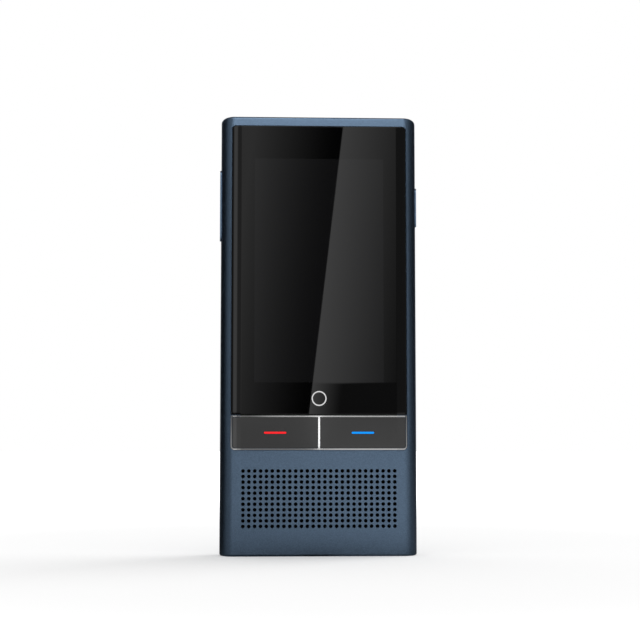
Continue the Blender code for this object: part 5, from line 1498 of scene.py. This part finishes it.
@dataclass
class CardTray:
    """Card tray with its door in the upper end."""

    width: float = 0.0108
    thickness: float = 0.0012
    sill: float = 0.0008  # width of the tray's rails
    card_length: float = 0.0124
    door_thickness: float = 0.0013
    door_edge: float = 0.00012  # round of the door's rim
    corner: float = 0.0005  # radius of the corners of tray and opening
    eject_hole_x: float = 0.0060  # place of the eject hole from the door's middle
    eject_hole_radius: float = 0.0004

    def build(self) -> None:
        """Make the tray and its door in one."""
        low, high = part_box("sim_tray")
        middle_x, middle_y = (low.x + high.x) / 2, (low.y + high.y) / 2
        door_base = high.z - self.door_thickness
        door = plate("door", [stadium(high.x - low.x, high.y - low.y),
                              circle(self.eject_hole_radius, (self.eject_hole_x, 0.0), SMALL_SIDES)],
                     door_base, high.z, Facing.UP, (middle_x, middle_y))
        rounded(door, self.door_edge, at_level(2, high.z))
        length = door_base + LAP - low.z
        card_at = (middle_x, low.z + self.sill + self.card_length / 2)
        outer = rounded_rectangle(self.width, length, self.corner, (middle_x, low.z + length / 2))
        card = rounded_rectangle(self.width - 2 * self.sill, self.card_length, self.corner, card_at)
        tray = plate("tray", [outer, card], middle_y - self.thickness / 2, middle_y + self.thickness / 2)
        shaped(door, tray, "UNION")
        dress(door, "card_tray_door", Finishes.BLUE_SHELL, Body.CARD_TRAY, "sim_tray")


# Rear camera

@dataclass
class RearCamera:
    """Bezel, window and lens of the rear camera, and the flash beside it."""

    shell: Shell
    bezel_clip: float = 0.0017  # how far the bezel's corners are cut back
    bezel_ease: float = 0.00045  # length over which each of the cut's own corners is rounded
    bezel_rim: float = 0.00065  # width of the bezel's frame
    bezel_edge: float = 0.00012  # round of the bezel's rim
    pocket_depth: float = 0.00065  # depth of the pocket that bezel and window sit in
    ledge: float = 0.0008  # width of the ledge under the window
    surround_radius: float = 0.00198  # radius of the ring round the lens
    surround_step: float = 0.00002  # half the height of that ring over the window
    surround_edge: float = 0.0001  # width of its broken edge
    lens_radius: float = 0.00085
    lens_rise: float = 0.0001  # height of its dome
    lens_sides: int = 64  # facets round lens and ring
    dome_steps: int = 10  # strips from the lens's rim to its middle
    flash_radius: float = 0.0011
    flash_reach: float = 0.0040  # how far in from the crown its opening starts
    flash_edge: float = 0.00008  # width of its broken edge
    flash_margin: float = 0.0002  # width of the plain margin round its pressed rings
    flash_rings: int = 4  # number of pressed rings
    groove_width: float = 0.00006  # width of a ring's slope
    groove_depth: float = 0.00005  # depth of a ring
    flash_dip: float = 0.00002  # how far its middle lies back

    def __post_init__(self) -> None:
        """Read the camera's place from the frame."""
        low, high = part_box("camera_bezel")
        self.width, self.height = high.x - low.x, high.z - low.z
        self.middle_z = (low.z + high.z) / 2
        self.low_y, self.high_y = low.y, high.y
        lens_low, lens_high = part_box("camera_lens")
        self.lens_z = (lens_low.z + lens_high.z) / 2
        flash_low, flash_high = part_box("flash_lens")
        self.flash_x = (flash_low.x + flash_high.x) / 2
        self.flash_low_y, self.flash_high_y = flash_low.y, flash_high.y

    def outline(self, inset: float) -> Outline:
        """The bezel's outline, drawn in by inset."""
        clip = self.bezel_clip - inset * (2 - math.sqrt(2))
        return clipped_rectangle(self.width - 2 * inset, self.height - 2 * inset, clip, self.bezel_ease)

    def cutters(self) -> list[Solid]:
        """Cutters for the camera's stepped pocket and the flash in the rear cover.

        Returns:
            The cutters.
        """
        crown = self.shell.crown_y
        floor = crown - self.pocket_depth
        at = (0.0, self.middle_z)
        flash = circle(self.flash_radius + CLOSE_FIT / 2)
        return [
            plate("pocket", [self.outline(-CLOSE_FIT / 2)], floor, crown + OVERRUN, at=at),
            plate("camera_opening", [self.outline(self.bezel_rim + self.ledge)], floor - OVERRUN, floor + LAP,
                  at=at),
            plate("flash_opening", [flash], crown - self.flash_reach, crown + OVERRUN,
                  at=(self.flash_x, self.lens_z)),
        ]

    def build(self) -> None:
        """Make bezel, window, lens and flash."""
        at = (0.0, self.middle_z)
        bezel = plate("bezel", [self.outline(0.0), self.outline(self.bezel_rim)], self.low_y, self.high_y,
                      at=at)
        rounded(bezel, self.bezel_edge, at_level(1, self.high_y))
        dress(bezel, "camera_bezel_frame", Finishes.SILVER, Body.CASE, "camera_bezel")
        window_low, window_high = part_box("camera_window")
        face = window_high.y
        window = plate("window", [self.outline(self.bezel_rim + CLOSE_FIT / 3)], window_low.y, face, at=at)
        rounded(window, self.bezel_edge / 2, at_level(1, face), 2)
        dress(window, "camera_window_glass", Finishes.BLACK_GLASS, Body.CASE, "camera_window")
        self.build_lens(face)
        self.build_flash()

    def build_lens(self, face: float) -> None:
        """The lens and the ring round it.

        Args:
            face: depth of the window's outer face.
        """
        step, radius = self.surround_step, self.surround_radius
        base = face + 2 * step
        surround = turned_y("surround", [
            (0.0, face - step), (radius, face - step), (radius, face + step),
            (radius - self.surround_edge, base), (0.0, base)], 0.0, self.lens_z, self.lens_sides)
        dress(surround, "lens_surround_ring", Finishes.LENS_SURROUND, Body.CASE)
        dome = [(0.0, base - step / 2)]
        for number in range(self.dome_steps):
            angle = QUARTER_TURN * number / self.dome_steps
            dome.append((self.lens_radius * math.cos(angle), base + self.lens_rise * math.sin(angle)))
        dome.append((0.0, base + self.lens_rise))
        lens = turned_y("lens", dome, 0.0, self.lens_z, self.lens_sides)
        dress(lens, "camera_lens_dome", Finishes.COATED_LENS, Body.CASE, "camera_lens")

    def build_flash(self) -> None:
        """Flash window with rings pressed into its face."""
        radius, face = self.flash_radius, self.flash_high_y
        profile = [(0.0, self.flash_low_y), (radius, self.flash_low_y), (radius, face - self.flash_edge),
                   (radius - self.flash_edge, face)]
        for ring in range(self.flash_rings):
            outer = (radius - self.flash_margin) * (1 - ring / self.flash_rings)
            profile += [(outer, face), (outer - self.groove_width, face - self.groove_depth)]
        profile.append((0.0, face - self.flash_dip))
        flash = turned_y("flash", profile, self.flash_x, self.lens_z)
        dress(flash, "flash_window", Finishes.FLASH_YELLOW, Body.CASE, "flash_lens")


# Charging port

@dataclass
class ChargingPort:
    """Shell and tongue of the charging port in the lower end."""

    wall: float = 0.0003  # thickness of the shell
    tongue_width: float = 0.00669
    tongue_thickness: float = 0.0007
    stop: float = 0.0012  # thickness of the block that the tongue stands on
    tongue_sink: float = 0.0011  # how far the tongue's tip lies behind the mouth
    edge: float = 0.0001  # round of the shell's mouth
    blade_corner: float = 0.0002  # radius of the tongue's corners
    tip_edge: float = 0.00015  # round of the tongue's tip
    contacts: int = 12  # contacts in a row
    pitch: float = 0.0005
    contact_size: Point = (0.00025, 0.0030)  # width and length of a contact
    contact_corner: float = 0.00008  # radius of its corners
    contact_reach: float = 0.0020  # distance of its middle from the tongue's tip
    contact_sink: float = 0.00005  # how far it lies in the tongue
    contact_proud: float = 0.00002  # how far it stands on the tongue

    def build(self) -> None:
        """Make the shell and the tongue with its contacts."""
        low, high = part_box("usb_shell")
        at = (0.0, (low.y + high.y) / 2)
        width, depth = high.x - low.x, high.y - low.y
        inner = (width - 2 * self.wall, depth - 2 * self.wall)
        shell = plate("port", [stadium(width, depth), stadium(*inner)], low.z, high.z, Facing.UP, at)
        rounded(shell, self.edge, at_level(2, low.z), 2)
        dress(shell, "charging_port_shell", Finishes.PORT_METAL, Body.CASE, "usb_shell")
        stop = plate("stop", [stadium(inner[0] - 2 * CLOSE_FIT, inner[1] - 2 * CLOSE_FIT)],
                     high.z - self.stop, high.z, Facing.UP, at)
        tip = low.z + self.tongue_sink
        outline = rounded_rectangle(self.tongue_width, self.tongue_thickness, self.blade_corner)
        blade = plate("blade", [outline], tip, high.z - self.stop + LAP, Facing.UP, at)
        rounded(blade, self.tip_edge, at_level(2, tip), 2)
        shaped(stop, blade, "UNION")
        dress(stop, "charging_port_tongue", Finishes.DARK_PLASTIC, Body.CASE, "usb_tongue")
        self.build_contacts(tip, at[1])

    def build_contacts(self, tip: float, middle_y: float) -> None:
        """Rows of contacts on both faces of the tongue.

        Args:
            tip: height of the tongue's tip.
            middle_y: depth of the tongue's middle.
        """
        half = self.tongue_thickness / 2
        strips = []
        for side in (-1, 1):
            faces = sorted((middle_y + side * (half - self.contact_sink),
                            middle_y + side * (half + self.contact_proud)))
            for number in range(self.contacts):
                place = ((number - (self.contacts - 1) / 2) * self.pitch, tip + self.contact_reach)
                outline = rounded_rectangle(*self.contact_size, self.contact_corner, place, 3)
                strips.append(plate("contact", [outline], *faces))
        dress(merged("contacts", strips), "charging_port_contacts", Finishes.PORT_METAL, Body.CASE)


# Inside

class InnerPieces:
    """Pieces inside the case, which keep their CAD shapes and get their finishes."""

    def dress(self, nodes: dict[str, Solid], subparts: Sequence[dict]) -> None:
        """Give every node the finish of its slot.

        Args:
            nodes: the frame's nodes by name.
            subparts: the record's list of nodes and slots.
        """
        for entry in subparts:
            finish = getattr(Finishes, Slot(entry["material_slot"]).name)
            for slot in nodes[entry["node"]].material_slots:
                slot.material = finish.material()
        log.info("inner pieces: %d nodes dressed", len(subparts))


# Studio

@dataclass(frozen=True)
class Tent:
    """White and dark cloths round the object, which only its reflections show."""

    radius: float = 0.95  # distance of the cloths from the object
    steps: int = 20  # strips from the horizon to the top
    gap: float = 0.004  # radius of the gap that the cloth on the floor leaves under the object
    floor_height: float = 0.00002  # height of the cloth on the floor
    floor_top: float = 0.001  # height under which a point counts as on the floor
    ease: Point = (0.012, 0.066)  # distances over which the cloth on the floor comes to its full light
    # distances across over which the cloth on the floor gets lighter, and its share of light there
    turn: Band = (-0.08, 0.05, 0.62, 1.78)
    # (azimuth, radiance) stops of this cloth close to the object
    near: tuple[Point, ...] = (
        (-180, 0.32), (-150, 0.26), (-120, 0.08), (-95, 0.02), (-80, 0.03), (-50, 0.04), (-25, 0.01),
        (20, 0.02), (50, 0.07), (75, 0.07), (95, 0.02), (120, 0.08), (150, 0.26), (180, 0.32))
    # (azimuth, radiance) stops of the cloth on the floor
    floor: tuple[Point, ...] = (
        (-180, 0.65), (-166, 0.60), (-156, 0.35), (-146, 0.08), (-130, 0.03), (-98, 0.03), (-78, 0.26),
        (-56, 0.27), (-25, 0.30), (-5, 0.44), (8, 0.45), (32, 0.37), (56, 0.28), (75, 0.13), (90, 0.12),
        (105, 0.10), (125, 0.05), (146, 0.08), (156, 0.35), (166, 0.60), (180, 0.65))
    # (azimuth, radiance) stops of the belt at the object's own height, azimuth in degrees from the display
    # side towards the power button
    low: tuple[Point, ...] = (
        (-180, 0.95), (-166, 0.75), (-158, 0.35), (-150, 0.06), (-140, 0.005), (-97, 0.003), (-78, 0.18),
        (-56, 0.24), (-32, 0.22), (-26, 0.10), (-22.5, 0.12), (-20.5, 1.05), (-14, 1.0), (-12, 0.32),
        (-5, 0.32), (-3, 0.40), (8, 0.14), (27, 0.14), (32, 0.22), (42, 0.22), (56, 0.17), (72, 0.09),
        (90, 0.04), (105, 0.02), (140, 0.01), (150, 0.08), (158, 0.40), (166, 0.75), (180, 0.95))
    # the same for the cloths above it
    high: tuple[Point, ...] = (
        (-180, 1.2), (-160, 0.9), (-140, 0.08), (-95, 0.08), (-75, 0.35), (-55, 0.42), (-30, 0.55),
        (-16, 1.6), (-6, 2.5), (8, 2.6), (20, 1.5), (32, 0.8), (45, 0.5), (70, 0.3), (95, 0.10),
        (140, 0.08), (160, 0.9), (180, 1.2))
    # heights of two thin dark lines in the low cloths, which the trim shows, and their most radiance
    trim_lines: tuple[Point, ...] = ((0.0534, 0.06), (0.0232, 0.26))
    trim_reach: float = 0.0026  # half the width of a line
    trim_free: float = 4.0  # radiance above the limit that the cloths may have off the lines
    trim_front: float = 0.70  # how far in front of the object the cloths have these lines
    # heights between which the low cloths are lit for the ends of the trim and the keys
    trim_ends: Point = (0.025, 0.056)
    # where each lit patch starts and stops across, and its radiance at those heights
    trim_patches: tuple[Band, ...] = (
        (0.13, 0.43, 0.42, 0.42), (0.43, 0.53, 0.27, 0.12), (-0.46, -0.372, 0.27, 0.11))
    # elevations, in degrees, between which the low belt gives way to the high cloths
    belt: Point = (21.0, 25.0)
    crown: Point = (50.0, 62.0)  # elevations between which the high cloths give way to the dark ceiling
    ceiling: float = 0.05  # share of the high cloths' light that the ceiling still gives
    # slope, and place across at the floor, of the edge of a dark strip behind the object, which the camera
    # window shows
    rear_edge: Point = (-0.0935, 0.0100)
    rear_end: float = 0.016  # place across of the strip's other edge
    rear_start: float = 0.50  # how far behind the object the strip starts


@dataclass(frozen=True)
class FrontCard:
    """Card behind the camera, whose slanted edge the glass shows."""

    distance: float = 0.86  # how far in front of the object it stands
    thickness: float = 0.002
    low_x: float = -0.051  # its left edge
    high_x: float = 0.126  # its right edge
    low_z: float = -0.30  # its lower edge
    high_z: float = 0.35  # its upper edge
    # place on the glass, x and z, where the slanted edge shows at the top
    slant_top: Point = (0.00698, 0.12398)
    slant_base: Point = (-0.00291, 0.04025)  # the same at the bottom
    lit: float = 1.04  # radiance just right of the edge
    lit_floor: float = 0.08  # radiance at the card's right end
    lit_width: float = 0.0832  # width over which that light falls off to the right
    lit_power: float = 1.3  # how it falls off
    dim: float = 0.60  # radiance at the card's left end
    dim_width: float = 0.0788  # width over which it falls to nothing at the slanted edge
    dim_power: float = 1.7  # how it falls off
    step_height: float = 0.0496  # height on the glass under which the light to the right falls off faster
    step_ease: float = 0.002  # height on the card over which it changes
    low_width: float = 0.0270  # that faster width
    keys_height: float = 0.04035  # height on the device under which the card shows in the keys and their trim
    # place and light, across the card, that the trim's upper line shows
    upper_trim: Band = (-0.029, 0.0085, 0.08, 0.56)
    lower_trim: Band = (0.0205, 0.0543, 0.16, 0.52)  # the same for its lower line
    keys_light: Band = (-0.020, 0.070, 0.16, 0.34)  # the same for the keys between them
    keys_ends: Point = (0.0312, 0.0391)  # heights on the device between which the keys' light lies
    divider_light: float = 1.5  # radiance of the small white strip that the divider shows
    divider_reach: float = 0.0008  # half the strip's width, as it shows on the device
    divider_ends: Point = (0.0309, 0.0396)  # heights on the device between which the strip shows


@dataclass(frozen=True)
class Studio:
    """Pale floor, soft light, cloths for the reflections, and the camera."""

    floor_radius: float = 3.0
    floor_thickness: float = 0.002
    floor_colour: Colour = (0.82, 0.82, 0.82)
    floor_roughness: float = 0.9
    floor_lift: float = 0.20  # light of its own that it shows under the object
    floor_fade: Point = (0.12, 0.45)  # distances over which that light grows to white
    round_sides: int = 96  # straight runs round floor and tent
    ambient: float = 0.75  # strength of the light from all sides
    sun_strength: float = 1.0  # strength of the key light
    sun_spread: float = math.radians(40)  # its angle across, which makes its shadows soft
    sun_tilt: Point = (math.radians(-16), math.radians(42))  # its turn about X and Y
    camera_place: tuple[float, float, float] = (-0.01787, -0.42399, 0.03389)
    camera_pitch: float = math.radians(94.609)  # its turn about X
    camera_yaw: float = math.radians(-2.487)  # its turn about Z
    lens: float = 81.74  # its focal length in millimetres
    sensor: float = 36.0  # width of its sensor in millimetres
    clip: Point = (0.01, 20.0)  # nearest and furthest distance that it shows
    tent: Tent = Tent()
    card: FrontCard = FrontCard()

    def build(self) -> None:
        """Make floor, light, cloths and camera."""
        self.build_world()
        self.build_floor()
        self.build_sun()
        self.build_tent()
        self.build_front_card()
        self.build_camera()

    def build_world(self) -> None:
        """White background, and plain neutral light on everything."""
        world = bpy.data.worlds.new("studio")
        bpy.context.scene.world = world
        world.use_nodes = True
        graph = Graph(world.node_tree)
        background = world.node_tree.nodes["Background"]
        background.inputs["Color"].default_value = WHITE
        seen = self.background_rays(graph)
        graph.join(graph.math("MULTIPLY_ADD", seen, 1.0 - self.ambient, self.ambient),
                   background.inputs["Strength"])

    def background_rays(self, graph: Graph) -> Value:
        """1 for rays from the camera, or mirrored or bent by metal and glass.

        Args:
            graph: the graph to work in.

        Returns:
            The mask.
        """
        path = graph.node("LightPath").outputs
        seen = graph.math("MAXIMUM", path["Is Camera Ray"], path["Is Glossy Ray"])
        return graph.math("MAXIMUM", seen, path["Is Transmission Ray"])

    def build_floor(self) -> None:
        """Pale floor that is white where it is seen and keeps the object's shadow."""
        floor = plate("floor", [circle(self.floor_radius, sides=self.round_sides)],
                      -self.floor_thickness, 0.0, Facing.UP)
        surface = Surface("pale_floor")
        surface.feed("Base Color", self.floor_colour)
        surface.feed("Roughness", self.floor_roughness)
        surface.feed("Specular IOR Level", 0.0)
        _, x, y, _ = surface.place()
        strength = surface.span(self.away(surface, x, y), *self.floor_fade, self.floor_lift, 1.0)
        seen = self.background_rays(surface) * strength
        lift = surface.node("Emission", {"Color": WHITE, "Strength": seen})
        total = surface.node("AddShader", {0: surface.shader.outputs[0], 1: lift.outputs[0]})
        surface.join(total.outputs[0], surface.tree.nodes["Material Output"].inputs["Surface"])
        floor.data.materials.append(surface.material)

    def build_sun(self) -> None:
        """Soft key light from above, behind and to the right, which gives the floor its shadow."""
        lamp = bpy.data.lights.new("key_light", "SUN")
        lamp.energy = self.sun_strength
        lamp.angle = self.sun_spread
        key = bpy.data.objects.new("key_light", lamp)
        key.rotation_euler = (*self.sun_tilt, 0.0)
        key.visible_glossy = False
        bpy.context.scene.collection.objects.link(key)

    def light_up(self, cloth: Solid) -> tuple[Graph, Socket]:
        """Give a cloth light of its own, which only reflections see.

        Args:
            cloth: the cloth.

        Returns:
            The graph of its material, and the input that takes its radiance.
        """
        material = bpy.data.materials.new(cloth.name)
        material.use_nodes = True
        material.cycles.emission_sampling = "NONE"
        graph = Graph(material.node_tree)
        graph.tree.nodes.clear()
        light = graph.node("Emission", {"Color": WHITE})
        graph.node("OutputMaterial", {"Surface": light.outputs[0]})
        cloth.data.materials.append(material)
        for rays in ("camera", "diffuse", "transmission", "shadow"):
            setattr(cloth, f"visible_{rays}", False)
        return graph, light.inputs["Strength"]

    def build_tent(self) -> None:
        """Cloths on the floor and round the object, in one dome."""
        tent = self.tent
        profile = [(tent.gap, tent.floor_height), (tent.radius, tent.floor_height)]
        for step in range(1, tent.steps):
            elevation = QUARTER_TURN * step / tent.steps
            profile.append((tent.radius * math.cos(elevation), tent.radius * math.sin(elevation)))
        rings = [[(x, y, height) for x, y in circle(radius, sides=self.round_sides)]
                 for radius, height in profile]
        graph, strength = self.light_up(lofted("reflection_tent", rings, open_base=True))
        _, x, y, z = graph.place()
        turn = graph.math("ARCTAN2", x, y * -1.0)
        round_share = graph.math("MULTIPLY_ADD", turn, 0.5 / math.pi, 0.5)
        high, floor, near = (graph.ramp(round_share, stops) for stops in (tent.high, tent.floor, tent.near))
        low = self.trim_cloths(graph, graph.ramp(round_share, tent.low))
        rise = graph.span(z, *(tent.radius * math.sin(math.radians(angle)) for angle in tent.belt))
        crown = graph.span(z, *(tent.radius * math.sin(math.radians(angle)) for angle in tent.crown),
                           1.0, tent.ceiling)
        cloth = (low + (high - low) * rise) * crown
        eased = graph.span(self.away(graph, x, y), *tent.ease)
        ground = graph.math("MULTIPLY_ADD", eased, floor - near, near) * graph.span(x, *tent.turn)
        total = graph.math("MULTIPLY_ADD", z < tent.floor_top, ground - cloth, cloth)
        past_edge = x > graph.math("MULTIPLY_ADD", z, *tent.rear_edge)
        dark = past_edge * (x < tent.rear_end) * (y > tent.rear_start)
        graph.join(total * (1.0 - dark), strength)

    def trim_cloths(self, graph: Graph, low: Value) -> Value:
        """Thin dark lines and lit patches in the low cloths, which trim and keys show.

        Args:
            graph: the tent's graph.
            low: radiance of the low cloths.

        Returns:
            Their radiance with lines and patches.
        """
        tent = self.tent
        _, x, y, z = graph.place()
        elsewhere = y > -tent.trim_front
        for height, most in tent.trim_lines:
            off_line = graph.math("ABSOLUTE", z - height) > tent.trim_reach
            free = graph.math("MAXIMUM", off_line, elsewhere)
            low = graph.math("MINIMUM", low, graph.math("MULTIPLY_ADD", free, tent.trim_free, most))
        under = (z < tent.trim_ends[1]) * (1.0 - elsewhere)
        for left, right, low_light, high_light in tent.trim_patches:
            shine = graph.span(z, *tent.trim_ends, low_light, high_light)
            low = graph.math("MAXIMUM", low, (x > left) * (x < right) * under * shine)
        return low

    def away(self, graph: Graph, x: Value, y: Value) -> Value:
        """Distance from the object's middle, seen from above."""
        return graph.math("SQRT", x * x + y * y)

    def mirrored(self, place: Point) -> Point:
        """Where the front card shows at a place on the flat glass.

        Args:
            place: x and z on the glass.

        Returns:
            The x and z on the card whose mirror image lies there.
        """
        glass_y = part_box("cover_glass")[0].y
        stretch = (self.card.distance + glass_y) / (glass_y - self.camera_place[1])
        return (place[0] + (place[0] - self.camera_place[0]) * stretch,
                place[1] + (place[1] - self.camera_place[2]) * stretch)

    def build_front_card(self) -> None:
        """Card whose slanted edge parts the glass into a dark and a lighter half."""
        card = self.card
        graph, strength = self.light_up(block(
            "front_card", (card.low_x, -card.distance - card.thickness, card.low_z),
            (card.high_x, -card.distance, card.high_z)))
        _, x, _, z = graph.place()
        top_x, top_z = self.mirrored(card.slant_top)
        base_x, base_z = self.mirrored(card.slant_base)
        slope = (top_x - base_x) / (top_z - base_z)
        off = x - graph.math("MULTIPLY_ADD", z - base_z, slope, base_x)
        step_z = self.mirrored((0.0, card.step_height))[1]
        width = graph.span(z, step_z - card.step_ease, step_z, card.low_width, card.lit_width)
        lit = self.falling(graph, graph.math("DIVIDE", off, width), card.lit - card.lit_floor, card.lit_power)
        dim_share = graph.math("DIVIDE", off, card.dim_width) + 1.0
        dim = self.falling(graph, dim_share, card.dim, card.dim_power)
        right = off > 0.0
        glass = right * (lit + card.lit_floor) + (1.0 - right) * dim
        on_glass = z > self.mirrored((0.0, card.keys_height))[1]
        graph.join(on_glass * glass + (1.0 - on_glass) * self.trim_light(graph, x, z), strength)

    def trim_light(self, graph: Graph, x: Value, z: Value) -> Value:
        """Light of the card's lower part, which the trim round the keys shows.

        Args:
            graph: the card's graph.
            x: place across the card.
            z: height on the card.

        Returns:
            The light.
        """
        card = self.card
        keys_base, keys_top = (self.mirrored((0.0, height))[1] for height in card.keys_ends)
        above, upper = z > keys_base, z > keys_top
        shares = ((upper, card.upper_trim), (above - upper, card.keys_light), (1.0 - above, card.lower_trim))
        lines = 0.0
        for share, stops in shares:
            lines = graph.math("MULTIPLY_ADD", share, graph.span(x, *stops), lines)
        strip_x, _ = self.mirrored((0.0, 0.0))
        reach = self.mirrored((card.divider_reach, 0.0))[0] - strip_x
        base_z, top_z = (self.mirrored((0.0, height))[1] for height in card.divider_ends)
        on_strip = (graph.math("ABSOLUTE", x - strip_x) < reach) * ((z > base_z) * (z < top_z))
        return graph.math("MAXIMUM", lines, on_strip * card.divider_light)

    def falling(self, graph: Graph, share: Value, start: float, power: float) -> Value:
        """Light that falls from start to nothing, as a power, while a share goes from 0 to 1."""
        left = graph.math("SUBTRACT", 1.0, share, clamp=True)
        return graph.math("POWER", left, power) * start

    def build_camera(self) -> None:
        """The camera at the photograph's viewing angle."""
        data = bpy.data.cameras.new("camera")
        data.lens = self.lens
        data.sensor_width = self.sensor
        data.clip_start, data.clip_end = self.clip
        camera = bpy.data.objects.new("camera", data)
        camera.location = self.camera_place
        camera.rotation_euler = (self.camera_pitch, 0.0, self.camera_yaw)
        bpy.context.scene.collection.objects.link(camera)
        bpy.context.scene.camera = camera
        bpy.context.scene.view_settings.view_transform = "Standard"


def main() -> None:
    """Dress the translator and set up its studio."""
    logging.basicConfig(level=logging.INFO, format="%(message)s")
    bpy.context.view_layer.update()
    InnerPieces().dress(frame["nodes"], frame["record"]["subparts"])
    shell = Shell()
    shell.build()
    glass = FrontGlass()
    glass.build()
    TalkKeys(glass).build()
    SideKey.read("power_button", Side.RIGHT).build(shell, Body.POWER_KEY, (0.0,), True)
    SideKey.read("volume_rocker", Side.LEFT).build(shell, Body.VOLUME_KEY, (-0.0070, 0.0070), False)
    CardTray().build()
    RearCamera(shell).build()
    ChargingPort().build()
    Studio().build()


if __name__ == "__main__":
    main()
